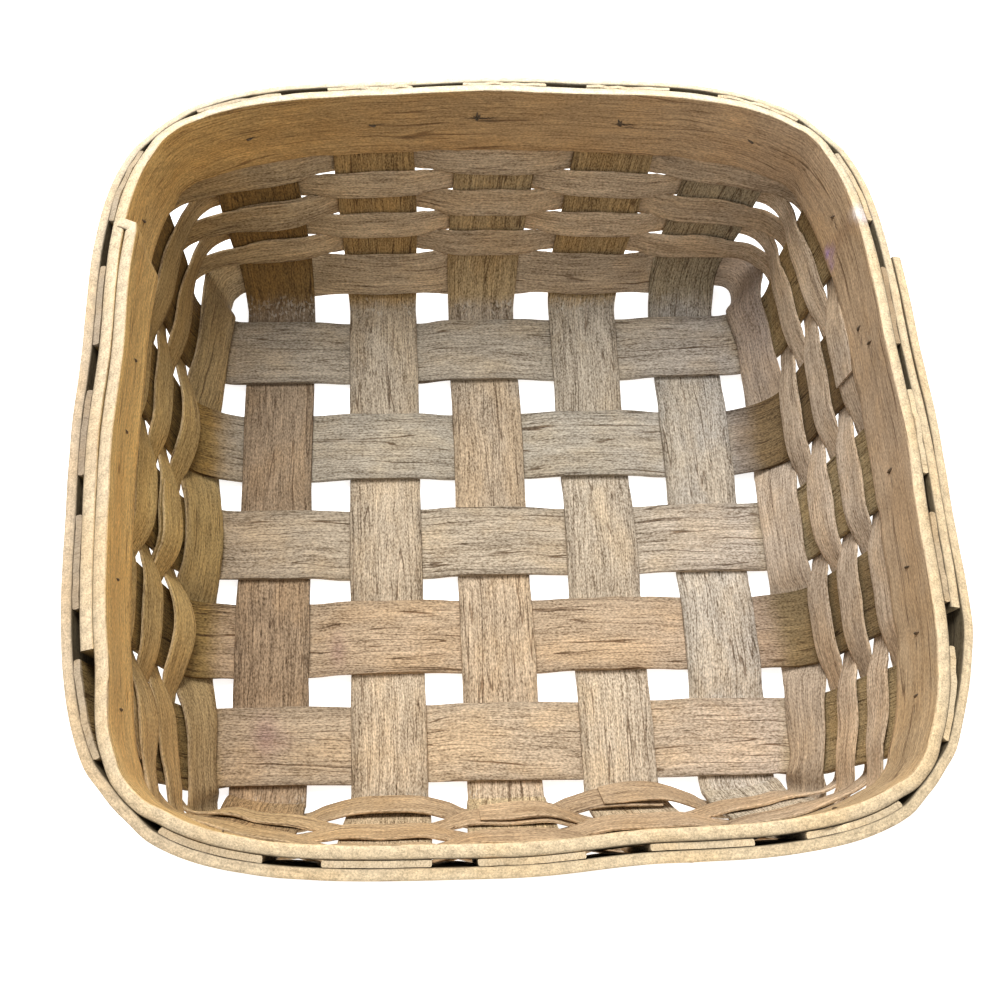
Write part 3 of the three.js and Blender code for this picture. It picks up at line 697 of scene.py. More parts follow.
# --------------------------------------------------------------- long splints
THIN = np.array([-1, -0.985, -0.72, -0.48, -0.24, 0, 0.24, 0.48, 0.72, 0.985, 1])
NARROW = np.array([-1, -0.9, -0.6, -0.2, 0, 0.2, 0.6, 0.9, 1.0])
WIDE = np.array([-1, -0.93, -0.65, -0.33, 0, 0.33, 0.65, 0.93, 1])
OVER = SPLINT_T / 2 + 0.04

# One wood, fresh to weathered, where it lies in the bottom and where it stands in
# the wall.  A splint has a tone and an age for each of the two.
BOTTOM_WOOD = (np.array([187.0, 162, 133]), np.array([184.0, 172, 153]))
WALL_WOOD = (np.array([183.0, 148, 92]), np.array([171.0, 155, 124]))


def wood_colour(woods, tone, age):
    return rgb(*(tone * ((1 - age) * woods[0] + age * woods[1])))


def splint_looks(rows):
    return [(wood_colour(BOTTOM_WOOD, a, b), wood_colour(WALL_WOOD, c, d)) for a, b, c, d in rows]


FB_LOOK = splint_looks([
    (0.87, 0.0, 0.80, 0.0), (1.0, 0.65, 0.98, 0.4), (0.985, 0.4, 1.02, 0.75),
    (1.01, 0.75, 0.98, 0.5), (0.98, 1.0, 0.98, 1.0),
])
LR_LOOK = splint_looks([
    (0.985, 0.8, 0.88, 0.2), (0.96, 1.0, 0.86, 0.2), (0.99, 0.75, 0.91, 0.3),
    (0.965, 0.2, 0.85, 0.2), (0.98, 0.5, 0.88, 0.3),
])


def painted_bottom_shade(p):
    """Painted shade and light: the bottom is painted cooler and darker towards the back and the left, and lighter
    towards the right.
    """
    f = smooth((p[..., 1] + 110) / 225)
    shade = mix(np.array([1.06, 1.03, 0.99]), np.array([0.70, 0.72, 0.74]), f)
    knots = (-110, -80, -45, 45, 105)
    side = [np.interp(p[..., 0], knots, v) for v in (
        (0.72, 0.80, 1.0, 1.02, 1.06), (0.68, 0.79, 1.0, 1.03, 1.09), (0.64, 0.78, 1.0, 1.05, 1.20)
    )]
    return shade * np.stack(side, -1)


def painted_corner_shade(p):
    """Painted shade: the far left corner is painted browner and darker than the rest."""
    w = spot(p, (-130, 104, 40), (36, 58, 60))[..., None]
    return 1 - w * (1 - np.array([0.62, 0.57, 0.44]))


def long_splint(axis, k):
    ends = axis == "fb"
    me, other = (FRONT_BACK, LEFT_RIGHT) if ends else (LEFT_RIGHT, FRONT_BACK)
    width = (FB_WIDTH if ends else LR_WIDTH)[0] * PITCH
    cross = (LR_WIDTH if ends else FB_WIDTH)[0] * PITCH
    base = BASE_Y if ends else BASE_X
    seed = (11 if ends else 31) + k
    walls = ("near", "far") if ends else ("left", "right")
    index = [UPRIGHTS.index((w, k)) for w in walls]
    at = me[k][0]
    c = THIN
    step = 1.5
    s_up = np.concatenate([[TOP, TOP - 0.8], np.arange(TOP - 2.0, 0.8, -step)])
    run = np.arange(-base + (1.6 if ends else 0.8), base - 0.7, step)

    def side(i, flip):
        q = -1.0 if flip else 1.0
        u = 3 * index[i] + 1 + q * np.clip(c, -1, 1)[None, :]
        s = s_up[:, None]
        ragged = 0.5 * wob(c * 15, 3.0, seed * 7 + i)[None, :] + 0.25 * wob(c * 15, 1.2, seed * 9 + i)[None, :]
        s = s + np.where(np.arange(len(s_up))[:, None] < 1, ragged - 0.2, 0)
        return wall(u, s), look(ALONG, u, s) * q, look(OUT, u, s)

    # the wall whose uprights run with rising x or y keeps its order, the other is turned
    near_p, near_t, near_n = side(0, flip=not ends)
    far_p, far_t, far_n = side(1, flip=ends)
    sign = 1 if ends else -1
    z = np.zeros(len(run))
    order = list(range(5))[::-1] if ends else list(range(5))
    knots_x, knots_z = [], []
    for j in order:
        mine = (at[0] + at[1]) / 2
        f = (mine + 2.4) / 4.8
        o = other[j][0]
        mid = PITCH * (o[0] + (o[1] - o[0]) * f)
        level = sign * (-1 if (j + k) % 2 == 0 else 1) * OVER
        knots_x += [mid - cross / 2 - 0.6, mid + cross / 2 + 0.6]
        knots_z += [level, level]
    knots_x = [-base] + knots_x + [base]
    knots_z = [BASE_LIFT] + knots_z + [BASE_LIFT]
    i = np.clip(np.searchsorted(knots_x, run) - 1, 0, len(knots_x) - 2)
    kx, kz = np.array(knots_x), np.array(knots_z)
    f = smooth((run - kx[i]) / (kx[i + 1] - kx[i]))
    z = kz[i] + (kz[i + 1] - kz[i]) * f
    lat = PITCH * (at[0] + (at[1] - at[0]) * (run / PITCH + 2.4) / 4.8)
    bottom = np.zeros((len(run), len(c), 3))
    bt = np.zeros_like(bottom)
    a0, a1 = (0, 1) if ends else (1, 0)
    bottom[..., a0] = lat[:, None] + c[None] * width / 2
    bottom[..., a1] = run[:, None]
    bottom[..., 2] = z[:, None]
    bt[..., a0] = 1.0
    bn = np.zeros_like(bottom)
    bn[..., 2] = -1.0
    G = np.concatenate([near_p, bottom, far_p[::-1]])
    T = np.concatenate([near_t, bt, far_t[::-1]])
    OUTW = np.concatenate([near_n, bn, far_n[::-1]])  # away from the basket's inside
    n = len(G)
    height = np.concatenate([s_up, -(base - np.abs(run)), s_up[::-1]])
    length = np.arange(n) * step
    # hand-split edges wander, and the surface isn't quite flat
    left = 0.38 * wob(length, 38, seed) + 0.16 * wob(length, 9, seed + 50) + 0.09 * wob(length, 2.4, seed + 90)
    right = 0.38 * wob(length, 42, seed + 1) + 0.16 * wob(length, 8, seed + 51) + 0.09 * wob(length, 2.6, seed + 91)
    f = (c[None] + 1) / 2
    G = G + T * ((left[:, None] * (1 - f) + right[:, None] * f))[..., None]
    ripple = np.stack([wob(length, 11, seed * 13 + j) for j in range(len(c))], 1)
    ripple = 0.5 * ripple + 0.25 * (np.roll(ripple, 1, 1) + np.roll(ripple, -1, 1))
    G = G + OUTW * (0.09 * ripple)[..., None]
    # smoothing along the strip, apart from its two ends
    for _ in range(4):
        H = G.copy()
        H[1:-1] = (G[:-2] + 2 * G[1:-1] + G[2:]) / 4
        keep = (height > TOP - 3)[:, None, None]
        G = np.where(keep, G, H)
    thick = SPLINT_T * (1 + 0.05 * wob(length, 30, seed + 3))
    swell = smooth((height - (TOP - 9)) / 8)
    thick = thick + swell * 0.12
    half = np.where(height > 0, width / 2 * (1 + 0.14 * (1 - np.exp(-np.maximum(height, 0) / 28))), width / 2)
    low, high = (FB_LOOK if ends else LR_LOOK)[k]
    bend_at = np.repeat(height[:, None], len(c), 1)

    def tint(p, cc, hh, LL):
        h = np.repeat(height[:, None], p.shape[1], 1)
        wander = 1.6 * wob(cc * 14, 6, seed + 5) + 0.8 * wob(cc * 14 + h, 1.5, seed + 6)
        up = smooth((h + 1.0 + wander) / (9.0 if ends else 12.0))
        # the bottom's tone with painted shade and light over it
        bottom_c = np.broadcast_to(low, p.shape) * painted_bottom_shade(p)
        # partly the wood's own tone round the basket, partly painted shade and light: the left and far walls painted
        # darker, the near wall lighter
        wall_c = np.broadcast_to(high, p.shape) * around(
            p,
            np.array([0.80, 0.90, 1.12]),
            np.array([0.84, 0.80, 0.76]),
            np.array([0.61, 0.57, 0.40]),
            np.array([1.14, 1.14, 1.16]),
        )
        if ends:
            # the feet at the front keep the bottom's colour
            f = (0.25 if k == 2 else 0.6) * smooth((-p[..., 1] - 40) / 40)
            wall_c = wall_c * (1 - f[..., None]) + bottom_c * f[..., None]
        # painted shade in the far left corner
        wall_c = wall_c * painted_corner_shade(p)
        col = bottom_c * (1 - up[..., None]) + wall_c * up[..., None]
        # painted shade: a darker line beside the edges
        col = col * (1 - 0.26 * smooth((np.abs(cc) - 0.93) / 0.07) * smooth((TOP - 3 - h) / 4))[..., None]
        top = smooth((h - (TOP - 1.6)) / 1.2)
        end_c = around(p, rgb(222, 200, 164), rgb(212, 196, 168), rgb(160, 142, 120), rgb(216, 194, 160))
        end_c = end_c * (1 + 0.12 * wob(cc * 15 + 3, 2.2, seed + 33))[..., None]
        col = col * (1 - top[..., None]) + end_c * top[..., None]
        # purple and dark stains
        for centre, radii, strength in (
            ((-91, -82, 0), (5, 8, 12), 0.55),
            ((-84, -84, 0), (4, 3, 12), 0.3),
            ((-63.6, -48, 0), (3.2, 7, 12), 0.4),
        ):
            if (not ends) and k in (3, 4):
                w = spot(p, centre, radii)[..., None] * strength
                col = col * (1 - w) + col * np.array([0.62, 0.42, 0.66]) * w
        if not ends and k in (1, 3):
            w = smooth((p[..., 0] - 98) / 10)[..., None] * (0.9 if k == 1 else 0.55)
            col = col * (1 - w) + col * np.array([0.52, 0.46, 0.42]) * w
        return col

    ob = strip(
        ("splint_front_back_" if ends else "splint_left_right_") + str(k + 1) + "_wood",
        G,
        c,
        (0.45, -0.45),
        thick,
        half,
        tint,
        extra={"bend": lambda p, cc, hh, LL: np.repeat(height[:, None], p.shape[1], 1)},
        seed=seed,
        hint=-OUTW,
    )
    if ends:
        mat = wood(
            "splint_wood_fb_%d" % (k + 1),
            seed=seed,
            streak=0.34,
            fibre=0.88,
            speck=1.0,
            mottle=0.24,
            lines=0.80,
            line_pitch=300,
            line_run=14,
            line_levels=3,
            strokes=0.5,
            crease=0.6 if k % 2 == 0 else 0.3,
            fray=1.0,
            rough=0.82,
        )
    else:
        mat = wood(
            "splint_wood_lr_%d" % (k + 1),
            seed=seed,
            streak=0.32,
            fibre=0.78,
            speck=0.95,
            mottle=0.24,
            lines=0.95,
            line_pitch=230,
            line_run=7,
            line_levels=5,
            strokes=0.3,
            crease=0.15,
            rough=0.82,
        )
    ob.data.materials.append(mat)
    return ob, ("splint_front_back_" if ends else "splint_left_right_") + str(k + 1)


# -------------------------------------------------------------------- weavers
WIDE_LOW, WIDE_SWING, WIDE_HIGH = 6.4, 1.8, 23.2
ROW, NARROW_W = 11.0, 10.9
WEAVE = 1.93
STEP = 1.8
ROW_START = (18, 17, 12, 8, 13, 3)
LAP = (1, 2, 2, 2, 2, 2)
# where the upper and lower edge of a strip lie inside an upright: (row, upright)
INSIDE = {
    (0, 0): (-2.7, -3.0), (2, 0): (-1.8, -2.8), (4, 0): (-1.75, -2.1),
    (1, 1): (-3.3, -3.4), (3, 1): (-2.4, -3.4), (5, 1): (-1.9, -2.4),
    (0, 2): (-1.8, -2.1), (2, 2): (-1.8, -4.1), (4, 2): (-1.75, -2.7),
    (1, 3): (-2.4, -3.2), (3, 3): (-1.8, -2.8), (5, 3): (-1.8, -2.4),
    (0, 4): (-2.8, -4.9), (2, 4): (-1.75, -2.8), (4, 4): (-1.75, -2.3),
    (0, 6): (-2.2, -3.4), (0, 8): (-2.2, -3.4),
    (0, 10): (-4.2, -5.2), (2, 10): (-1.9, -3.5), (4, 10): (-1.8, -3.0),
    (1, 11): (-4.9, -6.2), (3, 11): (-2.0, -4.1), (5, 11): (-1.9, -3.2),
    (0, 12): (-3.7, -3.8), (2, 12): (-2.3, -4.7), (4, 12): (-2.0, -4.9),
    (1, 13): (-5.9, -8.2), (3, 13): (-2.8, -4.7), (5, 13): (-2.0, -3.4),
    (0, 14): (-3.9, -3.2), (2, 14): (-3.2, -3.4), (4, 14): (-2.3, -4.4),
    (0, 16): (-3.5, -3.7), (0, 18): (-2.6, -4.5), (2, 18): (-2.1, -3.1),
    (1, 17): (-1.8, -3.4), (3, 17): (-1.8, -3.7), (5, 17): (-1.8, -2.4),
}
INSIDE_OF = {"right": (-1.8, -3.0), "far": (-1.85, -3.0), "left": (-1.9, -3.2), "near": (-1.75, -2.0)}


def rise(u, s):
    """The rows lie higher on the far wall than elsewhere, and a little on the right."""
    v = np.mod(u, 60)
    far = np.interp(v, [14, 16, 19, 22, 25, 28, 30.5], [0.15, 0.6, 0.9, 1.0, 0.9, 0.4, 0.0])
    right = np.interp(v, [0, 12, 15, 56, 60], [1.0, 1.0, 0.0, 0.0, 1.0])
    up = np.interp(s, [6.4, 23.2, 34, 45, 56, 67, 78, 107], [0.2, 4.4, 4.3, 3.4, 3.2, 2.1, 1.5, 0.0])
    return far * up + right * np.interp(s, [6.4, 25, 34], [0.3, 0.3, 1.2])


# Paths round the four corners: share of the way from one upright's edge to the
# next one's, and distance out from the wall's middle, for even and for odd rows.
TURNS = {
    4: (
        [(-0.05, -1.5), (0.2, 0.4), (0.4, 1.9), (0.6, 3.3), (0.8, 4.0), (1.0, 3.5)],
        [(0.0, 3.6), (0.2, 3.7), (0.35, 3.1), (0.5, 2.1), (0.72, 0.7), (0.9, -0.9), (1.05, -1.85)],
    ),
    9: (
        [(-0.05, 4.2), (0.25, 3.6), (0.5, 1.4), (0.7, -0.4), (0.88, -1.4), (1.05, -1.95)],
        [(-0.05, -1.95), (0.1, -1.4), (0.25, -0.5), (0.5, 1.7), (0.75, 3.9), (0.95, 4.6), (1.15, 4.0)],
    ),
    14: (
        [(-0.05, -2.1), (0.2, -0.8), (0.4, 1.1), (0.6, 2.7), (0.8, 3.6), (1.0, 3.2)],
        [(0.0, 2.6), (0.2, 2.2), (0.36, 1.5), (0.6, 0.3), (0.8, -1.0), (1.0, -1.9)],
    ),
    19: (
        [(0.0, 3.0), (0.35, 3.1), (0.6, 2.1), (0.85, 0.0), (1.0, -1.3), (1.12, -1.95)],
        [(-0.05, -2.1), (0.1, -1.9), (0.35, -0.8), (0.55, 0.7), (0.75, 2.5), (0.93, 4.0), (1.1, 3.4)],
    ),
}
# how much further out the wide strip's lower edge goes there
FLARE = {4: (0.8, 2.4), 9: (0.0, 1.2), 14: (0.9, 3.2), 19: (0.3, 2.8)}
# and how much further in, just beside the side walls' farthest uprights
TUCK = {4: (0.0, 4.2), 9: (1.0, 3.6)}


def passes_inside(row, i):
    w, k = UPRIGHTS[i % 20]
    even = k % 2 == 1 if w in ("far", "near") else k % 2 == 0
    return (row % 2 == 0) == even


# the weavers' wood on the right, far, left and near walls, and each row's tone
WEAVER_WOOD = np.array([(180.0, 162, 142), (181, 160, 132), (178, 150, 96), (181, 154, 121)])
ROW_TONE = (0.92, 1.0, 1.015, 0.985, 1.02, 0.98)
WEAVER_LOOK = [tuple(rgb(*(tone * c)) for c in WEAVER_WOOD) for tone in ROW_TONE]
# the wide strip is darker, most of all on the left
WEAVER_LOOK[0] = tuple(rgb(*(t * c)) for t, c in zip((0.93, 0.96, 0.83, 0.95), WEAVER_WOOD))


def weaver(row):
    seed = 60 + row
    wide = row == 0
    low = WIDE_LOW if wide else WIDE_HIGH + 0.15 + (row - 1) * ROW
    high = WIDE_HIGH if wide else low + NARROW_W
    start, total = ROW_START[row], 20 + LAP[row]
    keys = []  # place, offset along the wall's normal, level bulge of upper and lower edge
    for n in range(total):
        i = start + n
        u0 = 3.0 * i
        inside = passes_inside(row, i)
        o = -WEAVE if inside else WEAVE
        if n < LAP[row]:
            o = o - STEP if inside else o
        elif n >= 20:
            o = o if inside else o + STEP
        wallname, k = UPRIGHTS[i % 20]
        if inside:
            hi, lo = (v + WEAVE for v in INSIDE.get((row, i % 20), INSIDE_OF[wallname]))
            lo += 0.3 * float(wob(i % 20, 1.0, seed + 7))
        else:
            hi = lo = 0.2
        broad = 1.0 if inside else 0.0
        before = i % 5 == 0 and n > 0
        if not before:
            keys.append((u0 + (0.3 if n == 0 else 0.04), o, 0.22 * hi, 0.38 * lo, 0.5 * broad))
        keys.append((u0 + 1, o, hi, lo, broad))
        if n == total - 1:
            keys.append((u0 + 1.7, o, 0.5 * hi, 0.5 * lo, 0.5 * broad))
            break
        if i % 5 != 4:
            keys.append((u0 + 1.96, o, 0.22 * hi, 0.38 * lo, 0.5 * broad))
        else:
            peak, flare = FLARE[i % 20]
            for c, out in TURNS[i % 20][row % 2]:
                more = 0.08 * float(wob(c * 3 + i, 0.7, seed + 17))
                more_low = flare * math.exp(-(((c - peak) / 0.35) ** 2)) if wide else 0.0
                if wide and i % 20 in TUCK:
                    at, tuck = TUCK[i % 20]
                    more_low -= tuck * math.exp(-(((c - at) / 0.32) ** 2))
                    more -= 0.45 * tuck * math.exp(-(((c - at) / 0.32) ** 2))
                base = min(max(out, -WEAVE), WEAVE)
                more += out - base
                keys.append((u0 + 2 + c, base, more, more + more_low, 0.0))
    keys = np.array(keys)
    mid_s = (low + high) / 2
    u, d, (uu, dd) = run_round(mid_s, keys[0, 0], keys[-1, 0], 1.7)
    kd = np.interp(keys[:, 0], uu, dd)
    off, b_hi, b_lo = (spline(kd, keys[:, j], d) for j in (1, 2, 3))
    broad = smooth(np.interp(d, kd, keys[:, 4]))
    p = wall(u, low)
    flat = p[:, 0] ** 2 / (p[:, 0] ** 2 + p[:, 1] ** 2)
    s_lo = low + (WIDE_SWING * (1 - 2 * flat) if wide else 0) + rise(u, low)
    s_hi = high + rise(u, high)
    # a strip keeps its full width except where it crosses the next one
    v = np.mod(u, 3)
    full = smooth((np.abs(v - 2.5) - 0.08) / 0.20)
    sides = np.interp(np.mod(u, 60), [0, 12.5, 15, 29, 31, 43, 45, 59, 60], [1, 1, 0, 0, 1, 1, 0.4, 0.4, 1])
    full = full * (1 + 0.5 * sides)
    full = np.where(np.mod(u, 15) > 13.6, 0.35, 1.0) * np.where(np.mod(u, 15) < 0.25, 0.6, 1.0) * full
    s_hi = s_hi + (0.35 * full if wide else 0.75 * full + 0.35 * broad)
    s_lo = s_lo - (0.0 if wide else 0.45 * full + 0.25 * broad)
    sway = 0.45 * wob(d, 55, seed + 1)
    s_lo = s_lo + sway + 0.22 * wob(d, 17, seed + 2) + 0.10 * wob(d, 3, seed + 3)
    s_hi = s_hi + sway + 0.22 * wob(d, 19, seed + 4) + 0.10 * wob(d, 3.2, seed + 5)
    # the wide strip stays flat over its width, so its edges leave the bend's outside
    stiff = 1.5 * smooth(off / WEAVE) if wide else 0.0
    level = look(OUT, u, mid_s)
    level[:, 2] = 0
    level /= np.linalg.norm(level, axis=1, keepdims=True)
    lo_p = wall(u, s_lo, off + stiff) + level * b_lo[:, None]
    hi_p = wall(u, s_hi, off + stiff) + level * b_hi[:, None]
    cols = WIDE if wide else NARROW
    f = (cols + 1) / 2
    G = lo_p[:, None] * (1 - f)[None, :, None] + hi_p[:, None] * f[None, :, None]
    N = look(OUT, u, (s_lo + s_hi) / 2)
    # slightly cupped, hollow side in
    cup = (0.35 if wide else 0.16) * (1 - cols**2)
    G = G + N[:, None] * (cup - cup.mean())[None, :, None]
    ripple = np.stack([wob(d, 13, seed * 17 + j // 3) for j in range(len(cols))], 1)
    G = G + N[:, None] * (0.07 * ripple)[..., None]
    half = np.linalg.norm(hi_p - lo_p, axis=1) / 2
    thick = WEAVER_T * (1 + 0.07 * wob(d, 24, seed + 8))
    # ends are shaved thin
    thick = thick * (0.62 + 0.38 * smooth(np.minimum(d, d[-1] - d) / 14))
    looks = WEAVER_LOOK[row]

    def tint(p, cc, hh, LL):
        col = around(p, *looks)
        slow = 1 + 0.07 * wob(LL, 60, seed + 20) + 0.05 * wob(LL, 21, seed + 21)
        # a slow random change of tone, and painted shade in the far left corner
        col = col * slow[..., None] * painted_corner_shade(p)
        # painted shade: the wide strip's far left corner painted darker still, and its far right corner painted darker
        # and cooler
        if wide:
            w = spot(p, (122, 108, 20), (30, 52, 40))[..., None]
            col = col * painted_corner_shade(p) ** 0.6 * (1 - w * (1 - np.array([0.70, 0.70, 0.80])))
        # pale cut edge above, painted shade along the lower edge
        top = smooth((cc - 0.90) / 0.1)[..., None]
        col = col * (1 - top) + (col * 0.65 + rgb(206, 182, 150) * 0.35) * top
        lowe = smooth((-cc - 0.9) / 0.1)[..., None]
        col = col * (1 - 0.25 * lowe)
        return col

    ob = strip(
        ("wide_weaver" if wide else "narrow_weaver_%d" % row) + "_wood",
        G,
        cols,
        (0.45, -0.45),
        thick,
        half,
        tint,
        seed=seed,
        hint=np.repeat(-N[:, None], len(cols), 1),
    )
    mat = wood(
        "weaver_wood_%d" % row,
        seed=seed,
        streak=0.32,
        fibre=0.85,
        speck=0.80,
        mottle=0.26,
        lines=0.75 if wide else 0.6,
        line_pitch=340,
        line_run=6,
        line_levels=4,
        strokes=0.25,
        rough=0.74,
        gloss=0.3,
    )
    ob.data.materials.append(mat)
    return ob, "wide_weaver" if wide else "narrow_weaver_%d" % row


# ---------------------------------------------------------------------- tacks
TACKS = [
    # name, place round the rim, depth as a share of the band, way of the clinch, size
    ("rim_tack_right_5", 1.0, 0.52, 80, 0.7),
    ("rim_tack_right_lap_near", 2.45, 0.5, 95, 0.7),
    ("rim_tack_right_4", 4.0, 0.5, 100, 0.8),
    ("rim_tack_right_3", 6.4, 0.55, 70, 0.8),
    ("rim_tack_right_2", 9.4, 0.42, 85, 0.7),
    ("rim_tack_right_lap_far", 10.0, 0.62, 60, 0.7),
    ("rim_tack_right_1", 12.8, 0.5, 110, 0.7),
    ("rim_tack_far_5", 15.8, 0.48, 20, 0.8),
    ("rim_tack_far_4", 19.05, 0.5, 65, 1.0),
    ("rim_tack_far_3", 22.6, 0.46, 90, 1.15),
    ("rim_tack_far_2", 24.95, 0.5, 10, 0.7),
    ("rim_tack_far_1", 28.0, 0.52, 170, 0.7),
    ("rim_tack_left_1", 31.3, 0.5, 75, 0.8),
    ("rim_tack_left_2", 34.8, 0.6, 90, 0.7),
    ("rim_tack_left_3", 36.6, 0.55, 105, 0.6),
    ("rim_tack_left_4", 40.2, 0.5, 85, 0.7),
    ("rim_tack_left_5", 43.0, 0.52, 90, 0.7),
    ("rim_tack_near_1", 46.0, 0.5, 80, 0.8),
    ("rim_tack_near_2", 49.0, 0.5, 15, 0.8),
    ("rim_tack_near_3", 52.0, 0.5, 100, 0.8),
    ("rim_tack_near_4", 55.0, 0.5, 165, 0.8),
    ("rim_tack_near_5", 58.0, 0.5, 70, 0.8),
]


# ------------------------------------------------------------------ rim bands
BAND_IN = SPLINT_T / 2 + 0.20
LAP_STEP = 4.75
THINNED, LAP_LESS = 0.33, 0.27
INNER = {"sign": -1, "dir": -1, "from": 41.85, "to": 32.05}
OUTER = {"sign": 1, "dir": 1, "from": 2.9, "to": 11.25}
DRIFT = 2.5
TALL = np.array([-1, -0.97, -0.8, -0.55, -0.28, 0, 0.28, 0.55, 0.8, 0.935, 0.975, 1.0])


def standoff(b, u):
    """Of the outermost layer, as a share of one layer's thickness."""
    d = np.mod((b["from"] - u) * b["dir"], 60)
    lapped = 60 - abs(b["to"] - b["from"])
    g = 1 - np.clip((d - 0.15) / (DRIFT - 0.15), 0, 1)
    return np.where((d >= lapped) | (d <= 0.15), 1.0, smooth(g))


def pinch(u):
    """How much closer the bands lie to each other where no upright is between them."""
    v = np.mod(u, 15)
    x = np.clip(v - 14, 0, 1)
    return np.where(v > 14, 1.12 * smooth(np.minimum(x, 1 - x) / 0.34), 0.0)


CREAM = rgb(226, 202, 164)
PALE = rgb(240, 226, 196)
WEATHERED = rgb(196, 172, 144)


